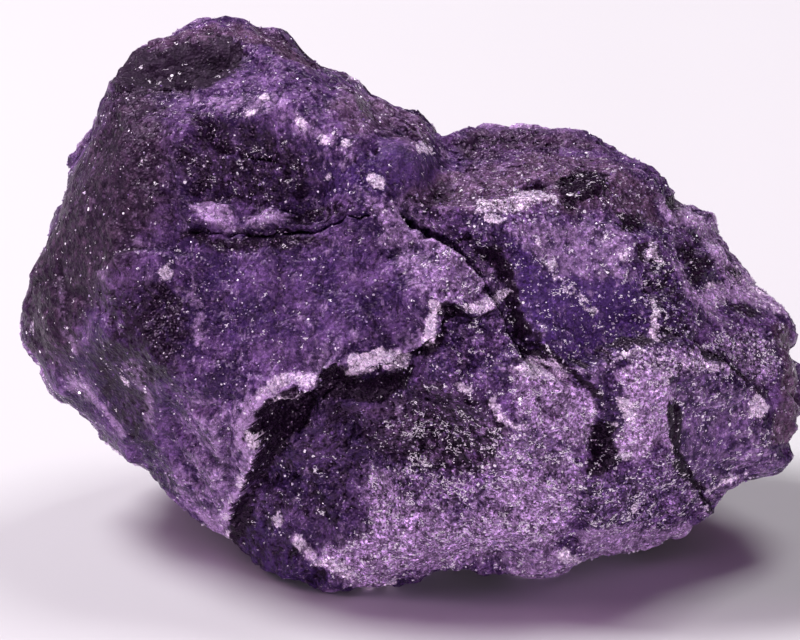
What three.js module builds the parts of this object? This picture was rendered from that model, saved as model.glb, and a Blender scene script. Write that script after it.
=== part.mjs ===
// A lump of rough tanzanite, 39 mm from end to end, lying on a small flat spot.
//
// The stone is one solid. Its surface is reached by straight rays from a core point inside it, so it can
// have slopes, ledges, pits and cracks, but no tunnels. Four things shape it, in this order:
//   1. a rounded body that follows the stone's outline as it is seen from its display side,
//   2. flat fracture faces that are broken off that body,
//   3. the ledges, hollows, cracks and knobs of each side, drawn on it in millimetres,
//   4. chipped, uneven ground all over, and the flat spot that the stone lies on.
//
// Millimetres, +Z up. The display side looks towards -Y. The drawing plane leans back by LEAN, as a person
// looking down at the stone sees it: u runs to the right, v up the plane and q out of it, from the core.

import * as THREE from "three";
import { mergeVertices } from "three/addons/utils/BufferGeometryUtils.js";

// The stone as a whole
const LEAN = THREE.MathUtils.degToRad(22);
const CORE_HEIGHT = 11.86; // of the core point above the ground
const FRONT_DEPTH = 11; // from the core to the display side
const BACK_DEPTH = 11.4; // from the core to the far side
const FULLNESS = 2.5; // 2 would make the body an ellipsoid, more makes it boxier
const SHELF_HEIGHT = 19.35; // of the flat shelf on the right-hand block, above the ground

// The net of triangles
const MESH_STEPS = 21; // the icosahedron's edges are cut into this many and one more
const STRETCH = [1.5, 1.05, 1]; // evens out the triangles of a long stone
const GATHER_ROUNDS = 10; // of drawing the net together where the surface is steep
const GATHER_PULL = 4; // how much stronger an edge pulls for each millimetre that it climbs
const GATHER_SHARE = 0.7; // of the way that a point moves in one round
const LEAST_FACING = 0.05; // a fracture face counts only for directions that lean to its side this much

// Outline on the drawing plane, anticlockwise from the peak's left corner, as [u, v].
const OUTLINE = [
  [-12.8, 24.1], [-13.7, 22.8], [-15.2, 19.8], [-16.6, 17.2], [-17.1, 15.6], [-17.9, 13.6],
  [-19, 12], [-19.4, 10.35], [-18.85, 8.45], [-16.95, 5.9], [-15.4, 4.5], [-13.1, 2.55],
  [-10.3, -0.25], [-8.4, -1.9], [-5.45, -2.9], [-2.15, -3.45], [-0.15, -3.25], [1.15, -2.65],
  [2.6, -1.95], [4.65, -2.15], [5.3, -2.55], [6.3, -3.2], [7, -2.95], [8.25, -2.2], [9.7, -1.85],
  [13, -1.5], [14.5, -0.8], [14.65, -0.2], [15.7, 0.3], [17.65, 1.45], [18.35, 2.5], [18.5, 3.75],
  [19.2, 5.75], [19.35, 6.9], [18.75, 9.1], [18.8, 9.7], [18.5, 10.65], [17.35, 11.7],
  [15.8, 13.3], [15.55, 14], [14.7, 15.15], [13.9, 15.3], [13, 16], [12.4, 16.5], [11.5, 17.5],
  [10.35, 18], [8.65, 18.95], [6.65, 19.8], [5.1, 19.8], [2.65, 19.3], [1.55, 18.8], [1.05, 19.45],
  [0.4, 20.1], [-0.6, 20.4], [-1.9, 20.7], [-2.45, 21.4], [-3.25, 21.8], [-4.2, 22.15],
  [-5.1, 22.9], [-5.7, 23.6], [-7.3, 24.15], [-7.95, 24.6], [-9.7, 24.65], [-11.6, 24.35],
];
const OUTLINE_REACH = 4.5; // how far from the widest section the outline's small corners carry on
const OUTLINE_EASE = THREE.MathUtils.degToRad(9); // further away it is averaged over this to each side
const EASE_SAMPLES = 9;

// Fracture faces, each by the way it faces in [u, v, q] and how deep it bites into the body.
const FACES = [
  { name: "broad plate", toward: [-0.22, 0.1, 1], bite: 1.2 },
  { name: "brow", toward: [-0.35, 0.78, 0.62], bite: 1.5 },
  { name: "left end", toward: [-0.86, 0, 0.52], bite: 1.4 },
  { name: "left underside", toward: [-0.6, -0.6, 0.53], bite: 1.5 },
  { name: "lower front", toward: [-0.12, -0.6, 0.79], bite: 1.1 },
  { name: "front knee", toward: [0.3, -0.32, 0.9], bite: 0.6 },
  { name: "smooth panel", toward: [0.28, 0.36, 0.89], bite: 1.2 },
  { name: "right facet", toward: [0.72, -0.22, 0.66], bite: 1.5 },
  { name: "right shoulder", toward: [0.66, 0.5, 0.56], bite: 1.7 },
  { name: "right underside", toward: [0.5, -0.78, 0.38], bite: 1.5 },
  { name: "left of the sole", toward: [-0.42, -0.84, -0.34], bite: 1.8 },
  { name: "right of the sole", toward: [0.42, -0.84, -0.34], bite: 2.1 },
  { name: "back of the sole", toward: [0, -0.7, -0.71], bite: 1.7 },
  { name: "back", toward: [0.1, 0.25, -0.96], bite: 1.7 },
  { name: "back left", toward: [-0.66, 0.15, -0.74], bite: 1.5 },
  { name: "back right", toward: [0.7, -0.1, -0.7], bite: 1.6 },
  { name: "back foot", toward: [-0.1, -0.62, -0.78], bite: 1.9 },
  { name: "back crown", toward: [-0.42, 0.76, -0.5], bite: 1.1 },
];
const FACE_ROUNDING = 0.22; // how softly one face runs into the next

// Areas that lie lower than their surroundings. They drop by a cliff along the wall, and run out to
// nothing towards the open edge. A negative drop stands proud instead. Points are [u, v] on the display
// side, and [x, z] on the far side.
const AREAS = {
  front: [
    {
      name: "hollow under the broad plate",
      wall: [
        [-8.9, -0.75], [-8.5, 1], [-8, 2.1], [-7.55, 3.25], [-7.7, 4.75], [-7.4, 5.9], [-6.25, 6.2],
        [-4.6, 6.75], [-4.4, 7.5], [-3.75, 7.9], [-2.9, 7.35], [-1.25, 7.6], [0.25, 8.4], [1, 9.2],
        [1.35, 10.1], [1.4, 10.9],
      ],
      open: [
        [2, 10.85], [2.4, 9], [2, 7.4], [3.5, 6.4], [4.75, 4.75], [4.5, 2.5], [3, 1], [0.5, -0.5],
        [-2, -2], [-5.5, -2.25], [-8.25, -1.75],
      ],
      drop: 2.3, cliff: 0.35, run: 3.6,
    },
    {
      name: "step at the plate's corner",
      wall: [
        [1.1, 8.75], [1.35, 10.1], [1.4, 10.9], [2, 10.9], [2.6, 10.35], [3.4, 10.15], [4.2, 10.4],
        [4.55, 11.1],
      ],
      open: [[5.1, 9.5], [5.5, 8.4], [4.5, 7.4], [3, 7], [1.5, 7.4]],
      drop: 1.2, cliff: 0.3, run: 1.6,
    },
    {
      name: "sunk field above the seam",
      wall: [
        [-10.9, 18.5], [-11.1, 16], [-10.9, 14.45], [-9, 14.35], [-7, 14.4], [-5.5, 14.5],
        [-3.9, 14.65], [-2.9, 15.1],
      ],
      open: [[-2.9, 17], [-3.75, 19], [-5.5, 19.75], [-8, 20.1], [-10.25, 19.9]],
      drop: 1, cliff: 0.3, run: 2,
    },
    {
      name: "dark scoop under the peak",
      wall: [[-14.6, 21.4], [-13, 21.2], [-11.2, 21.35], [-9.8, 21.65], [-8.6, 22.2]],
      open: [[-8.7, 23.25], [-9.75, 23.9], [-12.25, 23.6], [-14, 22.9]],
      drop: 1.1, cliff: 0.35, run: 1.3,
    },
    {
      name: "foot of the smooth panel",
      wall: [
        [5.9, 8.3], [6.9, 7.9], [8.25, 7.7], [9.6, 7.8], [9.8, 8.35], [11, 8.7], [12.6, 8.8],
        [13.9, 8.5],
      ],
      open: [[14, 10], [13.8, 11.5], [13, 13.5], [9.5, 11.5], [6.5, 10.5]],
      drop: 0.9, cliff: 0.3, run: 2.6,
    },
    {
      name: "flank right of the block",
      wall: [
        [12.5, 16.15], [12.7, 14.75], [13.1, 13], [13.8, 11.5], [14.05, 9.75], [14, 8.5],
        [15.1, 7.9], [16.4, 7.1], [17.1, 6.4],
      ],
      open: [[18.25, 6], [19.5, 8], [19, 11.5], [16.5, 14], [14.5, 16], [13.25, 16.5]],
      drop: 1.3, cliff: 0.5, run: 1.8,
    },
    {
      name: "smooth facet right of the tongue",
      wall: [
        [12.9, 7.7], [12.95, 6.4], [12.65, 5.4], [12.6, 4.4], [12.9, 3.5], [13.5, 2.7], [14, 1.8],
        [14.45, 0.85], [14.6, 0],
      ],
      open: [[16.5, 0.25], [18.25, 2], [17.9, 4.5], [17.25, 6], [15.5, 7.2], [14, 7.6]],
      drop: 1, cliff: 0.35, run: 2.4,
    },
  ],
  back: [
    {
      name: "fracture bowl of the far side",
      wall: [[-11, 17], [-8, 18.5], [-4.5, 18], [-1, 19], [2.5, 17.5], [4, 14.5], [3.5, 11.5]],
      open: [[0, 7], [-5, 5], [-10, 8], [-12.5, 12]],
      drop: 1.4, cliff: 0.5, run: 4,
    },
    {
      name: "step low on the far side",
      wall: [[4, 11], [7.5, 10.2], [10, 11.2], [13, 10.4], [16.5, 11]],
      open: [[17, 6], [13, 3.5], [8, 3.5], [4.5, 6]],
      drop: 1, cliff: 0.4, run: 3,
    },
  ],
};

// The drawings fade out where the stone turns away: the display side's and the far side's over these
// stretches of q, and the far side's over this stretch of y as well.
const FRONT_FADE = [-1.5, 1];
const FAR_FADE = [1, -2];
const BACK_FADE = [-1, 2.5];

// Cracks, as the line that they follow, their half width and their depth.
const CRACKS = {
  front: [
    {
      name: "main crack",
      line: [
        [-0.7, 16.2], [0.25, 15.35], [1.3, 14.6], [2.55, 13.7], [3.55, 12.95], [4.3, 12.1],
        [4.75, 11.1], [5.15, 10.1], [5.55, 8.9], [6.1, 8.15], [7, 7.7], [8.1, 6.8],
      ],
      half: 0.75, depth: 1.9,
    },
    {
      name: "seam over the broad plate",
      line: [[-10.9, 14.4], [-9, 14.3], [-7, 14.3], [-5.5, 14.4], [-3.9, 14.6], [-2, 15.2]],
      half: 0.3, depth: 0.5,
    },
    {
      name: "slit in the block",
      line: [[11.6, 13.6], [11.75, 12.6], [11.9, 11.6], [12.1, 10.7]],
      half: 0.3, depth: 0.6,
    },
  ],
  back: [
    {
      name: "crack of the far side",
      line: [[3.6, 18.2], [4.4, 14.5], [5.6, 11.5], [5.2, 8.5], [6.5, 5.5], [6.8, 3]],
      half: 0.5, depth: 1,
    },
  ],
};

const CRACK_TIP = 0.45; // the width of a crack's tip as a share of its full width
const CRACK_TAPER = 3; // over how many half widths a crack narrows to its tip

// Knobs and pits: where, their half length and half width, the turn of their length, and their height.
const KNOBS = {
  front: [
    { name: "boss in the notch", at: [-0.1, 17.7], half: [1.9, 1.3], turn: -10, height: 0.6 },
    { name: "left hump on the seam", at: [-9.6, 15.3], half: [1.9, 1], turn: 5, height: 1 },
    { name: "right hump on the seam", at: [-6.8, 15.1], half: [1.6, 0.8], turn: 0, height: 0.9 },
    { name: "lump behind the shelf", at: [5.8, 19.2], half: [4.4, 1], turn: -6, height: 0.8 },
    { name: "knuckle on the ridge", at: [-3.1, 20.6], half: [1.3, 0.8], turn: -35, height: 0.6 },
    { name: "pocket under the plate", at: [-6.6, 4.7], half: [1.5, 1.9], turn: 0, height: -1.1 },
    { name: "dark gap under the ledge", at: [-2.6, 6.7], half: [2.4, 0.8], turn: -4, height: -0.8 },
    { name: "arch between the feet", at: [3, -2.7], half: [2.6, 1.1], turn: 0, height: -1.3 },
    { name: "pit in the front", at: [9.1, 4.25], half: [0.85, 1.5], turn: 5, height: -0.9 },
    { name: "dimple under the panel", at: [8.1, 7.2], half: [0.8, 0.5], turn: -30, height: -0.5 },
    { name: "tongue", at: [11.3, 5.9], half: [1.9, 2.9], turn: -12, height: 0.5 },
    { name: "upper knob of the shoulder", at: [13.6, 14.7], half: [1.2, 1.6], turn: 20, height: 0.7 },
    { name: "middle knob of the shoulder", at: [15.2, 12.9], half: [1.5, 1.2], turn: -35, height: 0.7 },
    { name: "lower knob of the shoulder", at: [17.6, 9.6], half: [1.7, 1.3], turn: -40, height: 0.7 },
    { name: "nose of the left end", at: [-18, 10.3], half: [1.5, 2.6], turn: 8, height: 0.5 },
  ],
  back: [
    { name: "lump high on the far side", at: [-3, 20.5], half: [3, 1.8], turn: 15, height: 0.7 },
    { name: "lump on the far right", at: [11, 13.5], half: [2.6, 2], turn: -20, height: 0.8 },
    { name: "pit of the far side", at: [-7, 11], half: [1.8, 1.4], turn: 30, height: -0.7 },
  ],
};

const OVAL_MIDDLE = 0.25; // the share of an oval's size over which it keeps its full strength

// Where the flat shelf ends and the slope of the taller left-hand block begins, as [u, v].
const SHELF_EDGE = [[1.9, 18.8], [0.4, 15.4]];
const SLOPE_RISE = 1.5; // how much that slope climbs for each millimetre to the left
const VALLEY_ROUNDING = 0.8; // how softly the shelf runs into that slope

// Calmer ground, where the swells and chips shrink to the given share of their height.
const CALM = [
  { name: "smooth panel", at: [8, 11.6], half: [4.6, 4.2], turn: -20, keep: 0.15 },
  { name: "smooth facet", at: [15.2, 3.7], half: [3, 3.2], turn: -15, keep: 0.25 },
  { name: "middle of the plate", at: [-4.2, 10.8], half: [7, 4.4], turn: 8, keep: 0.5 },
  { name: "boss", at: [-0.1, 17.7], half: [2.2, 1.6], turn: -10, keep: 0.3 },
];

// Uneven ground: the size of the swells and chips, and how much each moves the surface.
const SWELL_SIZE = 5.2;
const SWELL_HEIGHT = 0.38;
const CHIP_SIZE = 2.9;
const CHIP_TILT = 0.28;
const CHIP_SHARPNESS = 18; // how quickly one chip gives way to the next
const WARP_SIZE = 1.6; // ledge lines wander by WARP_REACH over this length
const WARP_REACH = 0.22;
const SALTS = { warp: [11, 12], swells: 21, chips: 31 }; // keep the kinds of noise apart

const COLOUR = { color: 0x5c4378, roughness: 0.55, metalness: 0 };

const core = new THREE.Vector2(0, CORE_HEIGHT * Math.cos(LEAN)); // on the drawing plane
const coreLift = CORE_HEIGHT * Math.sin(LEAN); // out of the drawing plane, from the origin

// A whole number from a lattice corner, the same on every run, spread over 0 to 1.
function hash(i, j, k, salt) {
  let h = Math.imul(i, 374761393) + Math.imul(j, 668265263) + Math.imul(k, 1440662683);
  h = (h + Math.imul(salt, 974634777)) | 0;
  h = Math.imul(h ^ (h >>> 13), 1274126177);
  h = Math.imul(h ^ (h >>> 15), 461845907);
  return ((h ^ (h >>> 16)) >>> 0) / 4294967296;
}

const dot = (a, b) => a[0] * b[0] + a[1] * b[1] + a[2] * b[2];
const scaled = (a, factor) => a.map((value) => value * factor);
const wholeTurn = (angle) => THREE.MathUtils.euclideanModulo(angle, 2 * Math.PI);
const ease = (t) => t * t * (3 - 2 * t);
const ramp = (low, high, value) => ease(THREE.MathUtils.clamp((value - low) / (high - low), 0, 1));

// Smooth noise between -1 and 1 at a point, with lumps of about the given size.
function noise(point, size, salt) {
  const inCells = scaled(point, 1 / size);
  const corner = inCells.map(Math.floor);
  const [fx, fy, fz] = inCells.map((value, axis) => ease(value - corner[axis]));
  let sum = 0;
  for (let n = 0; n < 8; n++) {
    const [a, b, c] = [n & 1, (n >> 1) & 1, n >> 2];
    const share = (a ? fx : 1 - fx) * (b ? fy : 1 - fy) * (c ? fz : 1 - fz);
    sum += share * (2 * hash(corner[0] + a, corner[1] + b, corner[2] + c, salt) - 1);
  }
  return sum;
}

// Chipped ground: each seed near the point has one tilted chip, and the nearest seed's chip counts most.
function chips(point, size, salt) {
  const inCells = scaled(point, 1 / size);
  const cell = inCells.map(Math.floor);
  let total = 0;
  let height = 0;
  for (let n = 0; n < 27; n++) {
    const step = [n % 3, Math.floor(n / 3) % 3, Math.floor(n / 9)];
    const at = step.map((value, axis) => cell[axis] + value - 1);
    const away = at.map((value, axis) => inCells[axis] - value - hash(...at, salt + axis));
    const tilt = away.map((value, axis) => value * (2 * hash(...at, salt + 3 + axis) - 1));
    const weight = Math.exp(-CHIP_SHARPNESS * (away[0] ** 2 + away[1] ** 2 + away[2] ** 2));
    height += weight * (tilt[0] + tilt[1] + tilt[2]) * size;
    total += weight;
  }
  return height / total;
}

// The outline's distance from the core in each direction round the drawing plane.
const outlinePolar = OUTLINE.map(([u, v]) => ({
  angle: Math.atan2(v - core.y, u - core.x),
  reach: Math.hypot(u - core.x, v - core.y),
})).sort((a, b) => a.angle - b.angle);

function outlineReach(angle) {
  const turned = wholeTurn(angle + Math.PI) - Math.PI;
  let next = outlinePolar.findIndex((corner) => corner.angle > turned);
  if (next < 0) next = 0;
  const last = (next + outlinePolar.length - 1) % outlinePolar.length;
  const span = wholeTurn(outlinePolar[next].angle - outlinePolar[last].angle);
  const into = wholeTurn(turned - outlinePolar[last].angle);
  return THREE.MathUtils.lerp(outlinePolar[last].reach, outlinePolar[next].reach, into / span);
}

function easedReach(angle) {
  let sum = 0;
  for (let n = 0; n < EASE_SAMPLES; n++)
    sum += outlineReach(angle + OUTLINE_EASE * ((2 * n) / (EASE_SAMPLES - 1) - 1));
  return sum / EASE_SAMPLES;
}

// How far the rounded body reaches from the core along a direction in [u, v, q].
function bodyReach([u, v, q]) {
  const flat = Math.hypot(u, v);
  const angle = Math.atan2(v, u);
  const depth = q > 0 ? FRONT_DEPTH : BACK_DEPTH;
  const reachFor = (reach) =>
    ((flat / reach) ** FULLNESS + (Math.abs(q) / depth) ** FULLNESS) ** (-1 / FULLNESS);
  const eased = reachFor(easedReach(angle));
  const detail = Math.exp(-(((eased * q) / OUTLINE_REACH) ** 2));
  return THREE.MathUtils.lerp(eased, reachFor(outlineReach(angle)), detail);
}

// Distance from a point of the plane to an open line of points.
function distanceToLine([u, v], line) {
  let least = Infinity;
  for (let n = 0; n + 1 < line.length; n++) {
    const [[au, av], [bu, bv]] = [line[n], line[n + 1]];
    const along = ((u - au) * (bu - au) + (v - av) * (bv - av)) / ((bu - au) ** 2 + (bv - av) ** 2);
    const t = THREE.MathUtils.clamp(along, 0, 1);
    least = Math.min(least, Math.hypot(u - au - t * (bu - au), v - av - t * (bv - av)));
  }
  return least;
}

function isInside([u, v], ring) {
  let inside = false;
  for (let n = 0, last = ring.length - 1; n < ring.length; last = n++) {
    const [[au, av], [bu, bv]] = [ring[n], ring[last]];
    if (av > v !== bv > v && u < ((bu - au) * (v - av)) / (bv - av) + au) inside = !inside;
  }
  return inside;
}

function areaHeight(point, area) {
  if (!isInside(point, [...area.wall, ...area.open])) return 0;
  const openLine = [area.wall.at(-1), ...area.open, area.wall[0]];
  const fall = ramp(0, area.cliff, distanceToLine(point, area.wall));
  return -area.drop * fall * ramp(0, area.run, distanceToLine(point, openLine));
}

function crackHeight(point, crack) {
  const ends = [crack.line[0], crack.line.at(-1)];
  const fromEnd = Math.min(...ends.map(([u, v]) => Math.hypot(point[0] - u, point[1] - v)));
  const tapered = ramp(0, CRACK_TAPER * crack.half, fromEnd);
  const width = crack.half * THREE.MathUtils.lerp(CRACK_TIP, 1, tapered);
  const opened = 1 - ramp(0, width, distanceToLine(point, crack.line));
  return -crack.depth * opened * ramp(0, crack.half, fromEnd);
}

// 1 in the middle of a turned oval, 0 at its edge and beyond.
function inOval([u, v], { at, half, turn }) {
  const angle = THREE.MathUtils.degToRad(turn);
  const along = ((u - at[0]) * Math.cos(angle) + (v - at[1]) * Math.sin(angle)) / half[0];
  const across = ((v - at[1]) * Math.cos(angle) - (u - at[0]) * Math.sin(angle)) / half[1];
  return 1 - ramp(OVAL_MIDDLE, 1, Math.hypot(along, across));
}

const knobHeight = (point, knob) => knob.height * inOval(point, knob);

// From [u, v, q] round the core to [x, y, z] round the origin.
function toStone([u, v, q]) {
  const [up, out] = [v + core.y, q + coreLift];
  return [u, up * Math.sin(LEAN) - out * Math.cos(LEAN), up * Math.cos(LEAN) + out * Math.sin(LEAN)];
}

// What the drawn features and the uneven ground add at a point of the broken body.
function reliefAt(point) {
  const stone = toStone(point);
  const warp = SALTS.warp.map((salt) => WARP_REACH * noise(stone, WARP_SIZE, salt));
  const drawn = {
    front: [point[0] + warp[0], point[1] + core.y + warp[1]],
    back: [stone[0] + warp[0], stone[2] + warp[1]],
  };
  const share = {
    front: ramp(...FRONT_FADE, point[2]),
    back: ramp(...BACK_FADE, stone[1]) * ramp(...FAR_FADE, point[2]),
  };
  let height = 0;
  for (const [features, measure] of [[AREAS, areaHeight], [CRACKS, crackHeight], [KNOBS, knobHeight]])
    for (const side of ["front", "back"])
      if (share[side] > 0)
        for (const feature of features[side]) height += share[side] * measure(drawn[side], feature);
  let uneven = 1;
  for (const area of CALM)
    uneven = Math.min(uneven, 1 - share.front * (1 - area.keep) * inOval(drawn.front, area));
  const swells = SWELL_HEIGHT * noise(stone, SWELL_SIZE, SALTS.swells);
  return height + uneven * (swells + CHIP_TILT * chips(stone, CHIP_SIZE, SALTS.chips));
}

// The flat shelf cuts the right-hand block, and the slope beside it the corner of the left-hand one.
function shelfReach(direction, point) {
  const rise = direction[1] * Math.cos(LEAN) + direction[2] * Math.sin(LEAN);
  if (rise <= 0) return Infinity;
  const [[au, av], [bu, bv]] = SHELF_EDGE;
  const across = (point[0] - au) * (bv - av) - (point[1] + core.y - av) * (bu - au);
  const side = across / Math.hypot(bu - au, bv - av);
  const climb = (SLOPE_RISE * (side + Math.hypot(side, VALLEY_ROUNDING))) / 2;
  return (SHELF_HEIGHT + climb - CORE_HEIGHT) / rise;
}

// A ball of evenly cut triangles, drawn out along the stone's length.
function stretchedBall() {
  const ball = new THREE.IcosahedronGeometry(1, MESH_STEPS);
  ball.deleteAttribute("normal");
  ball.deleteAttribute("uv");
  const merged = mergeVertices(ball.scale(...STRETCH), 1e-5);
  const corner = new THREE.Vector3();
  const directions = [];
  for (let n = 0; n < merged.getAttribute("position").count; n++)
    directions.push(corner.fromBufferAttribute(merged.getAttribute("position"), n).normalize().toArray());
  return { directions, index: merged.getIndex() };
}

// Each fracture face as a plane: which way it faces, and how far it lies from the core.
function fracturePlanes(directions) {
  const body = directions.map((direction) => scaled(direction, bodyReach(direction)));
  return FACES.map(({ toward, bite }) => {
    const normal = scaled(toward, 1 / Math.hypot(...toward));
    return { normal, distance: Math.max(...body.map((point) => dot(point, normal))) - bite };
  });
}

// How far the broken body reaches along a direction, before the drawn features and the uneven ground.
function brokenReach(direction, planes) {
  const limits = [bodyReach(direction)];
  for (const { normal, distance } of planes) {
    const facing = dot(direction, normal);
    if (facing > LEAST_FACING) limits.push(distance / facing);
  }
  const least = Math.min(...limits);
  const soft = limits.reduce((sum, limit) => sum + Math.exp((least - limit) / FACE_ROUNDING), 0);
  const reach = least - FACE_ROUNDING * Math.log(soft);
  return Math.min(reach, shelfReach(direction, scaled(direction, reach)));
}

// Draws the points of the ball together where the relief is steep, and evens them out elsewhere.
function gathered(directions, index, planes) {
  const neighbours = directions.map(() => new Set());
  for (let n = 0; n < index.count; n += 3)
    for (const [a, b] of [[0, 1], [1, 2], [2, 0]]) {
      neighbours[index.getX(n + a)].add(index.getX(n + b));
      neighbours[index.getX(n + b)].add(index.getX(n + a));
    }

  let current = directions;
  for (let round = 0; round < GATHER_ROUNDS; round++) {
    const bases = current.map((direction) => scaled(direction, brokenReach(direction, planes)));
    const heights = bases.map(reliefAt);
    const corners = bases.map((base) => new THREE.Vector3(...base));
    current = corners.map((corner, n) => {
      const middle = new THREE.Vector3();
      let total = 0;
      for (const other of neighbours[n]) {
        const pull = 1 + GATHER_PULL * Math.abs(heights[other] - heights[n]);
        middle.addScaledVector(corners[other], pull);
        total += pull;
      }
      return corner.clone().lerp(middle.divideScalar(total), GATHER_SHARE).normalize().toArray();
    });
  }
  return current;
}

// The surface point along a direction, in stone coordinates, brought up to the ground where it is below.
function surfacePlace(direction, planes) {
  const base = brokenReach(direction, planes);
  const place = toStone(scaled(direction, base + reliefAt(scaled(direction, base))));
  if (place[2] >= 0) return place;
  const share = CORE_HEIGHT / (CORE_HEIGHT - place[2]);
  return [place[0] * share, place[1] * share, 0];
}

function stoneGeometry() {
  const { directions, index } = stretchedBall();
  const planes = fracturePlanes(directions);
  const places = gathered(directions, index, planes).map((direction) => surfacePlace(direction, planes));

  const geometry = new THREE.BufferGeometry();
  geometry.setAttribute("position", new THREE.Float32BufferAttribute(places.flat(), 3));
  geometry.setIndex(index);
  geometry.computeBoundingBox();
  const middle = geometry.boundingBox.getCenter(new THREE.Vector3());
  geometry.translate(-middle.x, -middle.y, 0);
  geometry.computeVertexNormals();
  return geometry;
}

const stone = new THREE.Mesh(stoneGeometry(), new THREE.MeshStandardMaterial(COLOUR));
stone.name = "rough_tanzanite";

const specimen = new THREE.Group();
specimen.add(stone);

export default specimen;
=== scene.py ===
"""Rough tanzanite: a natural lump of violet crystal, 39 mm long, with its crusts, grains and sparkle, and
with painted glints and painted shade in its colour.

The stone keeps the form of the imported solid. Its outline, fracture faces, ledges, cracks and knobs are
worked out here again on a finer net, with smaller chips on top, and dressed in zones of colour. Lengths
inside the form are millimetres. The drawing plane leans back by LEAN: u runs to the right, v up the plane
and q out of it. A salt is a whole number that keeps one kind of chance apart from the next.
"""

import logging
import math
from dataclasses import dataclass, field
from enum import Enum

import bpy
import numpy as np
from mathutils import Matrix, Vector


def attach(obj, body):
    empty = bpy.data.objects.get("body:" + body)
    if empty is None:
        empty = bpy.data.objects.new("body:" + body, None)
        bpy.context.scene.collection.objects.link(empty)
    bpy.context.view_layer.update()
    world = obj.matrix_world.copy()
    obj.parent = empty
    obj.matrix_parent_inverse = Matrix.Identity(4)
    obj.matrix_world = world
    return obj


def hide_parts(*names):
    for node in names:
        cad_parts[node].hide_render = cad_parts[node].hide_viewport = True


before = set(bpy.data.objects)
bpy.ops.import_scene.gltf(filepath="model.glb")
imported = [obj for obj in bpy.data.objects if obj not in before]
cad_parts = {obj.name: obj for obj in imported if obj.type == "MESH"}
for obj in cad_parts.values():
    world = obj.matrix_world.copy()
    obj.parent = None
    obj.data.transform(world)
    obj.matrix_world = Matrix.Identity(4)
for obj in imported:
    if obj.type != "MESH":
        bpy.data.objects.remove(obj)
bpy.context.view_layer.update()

LOG = logging.getLogger("rough_tanzanite")
LEAN = math.radians(22)
MILLIMETRE = 0.001
NODE = "rough_tanzanite"

Points = np.ndarray
Numbers = np.ndarray
Faces = np.ndarray
Colour = tuple[float, ...]
Socket = bpy.types.NodeSocket


class Side(Enum):
    """The two sides that features are drawn on."""

    FRONT = "front"
    BACK = "back"


class Tone(Enum):
    """The kinds of ground that colour the stone; DARK also carries painted shade, and GLITTER sets where
    painted glints gather.
    """

    FROST = "frost"
    LILAC = "lilac"
    # dark ground of the stone, and painted shade in cracks, pits, hollows, under ledges and between knobs
    DARK = "dark"
    BLUE = "blue"
    BROWN = "brown"
    # where painted glints gather, grains show livelier and crust crystals stand
    GLITTER = "glitter"
    CALM = "calm"


FROST, LILAC, DARK, BLUE, BROWN, GLITTER, CALM = Tone


def ramp(low: float, high: float, value: Numbers) -> Numbers:
    """Climbs softly from 0 at low to 1 at high.

    Args:
        low: where the climb starts.
        high: where it ends; it may be less than low.
        value: the places to read it at.

    Returns:
        Shares from 0 to 1.
    """
    t = np.clip((value - low) / (high - low), 0, 1)
    return t * t * (3 - 2 * t)


def distance_to_line(at: Points, line: tuple) -> Numbers:
    """Measures how far points of a plane lie from an open line.

    Args:
        at: points of the plane, as rows.
        line: the line's corners.

    Returns:
        The distances.
    """
    corners = np.array(line, float)
    least = np.full(len(at), np.inf)
    for start, end in zip(corners[:-1], corners[1:]):
        along = end - start
        t = np.clip((at - start) @ along / (along @ along), 0, 1)
        away = at - start - t[:, None] * along
        least = np.minimum(least, np.hypot(away[:, 0], away[:, 1]))
    return least


def is_inside(at: Points, ring: tuple) -> np.ndarray:
    """Tells which points of a plane lie inside a ring of corners.

    Args:
        at: points of the plane, as rows.
        ring: the ring's corners.

    Returns:
        True for each point inside.
    """
    corners = np.array(ring, float)
    inside = np.zeros(len(at), bool)
    for start, end in zip(corners, np.roll(corners, 1, axis=0)):
        if start[1] == end[1]:
            continue
        crosses = (start[1] > at[:, 1]) != (end[1] > at[:, 1])
        meets = (end[0] - start[0]) * (at[:, 1] - start[1]) / (end[1] - start[1]) + start[0]
        inside ^= crosses & (at[:, 0] < meets)
    return inside


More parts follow.
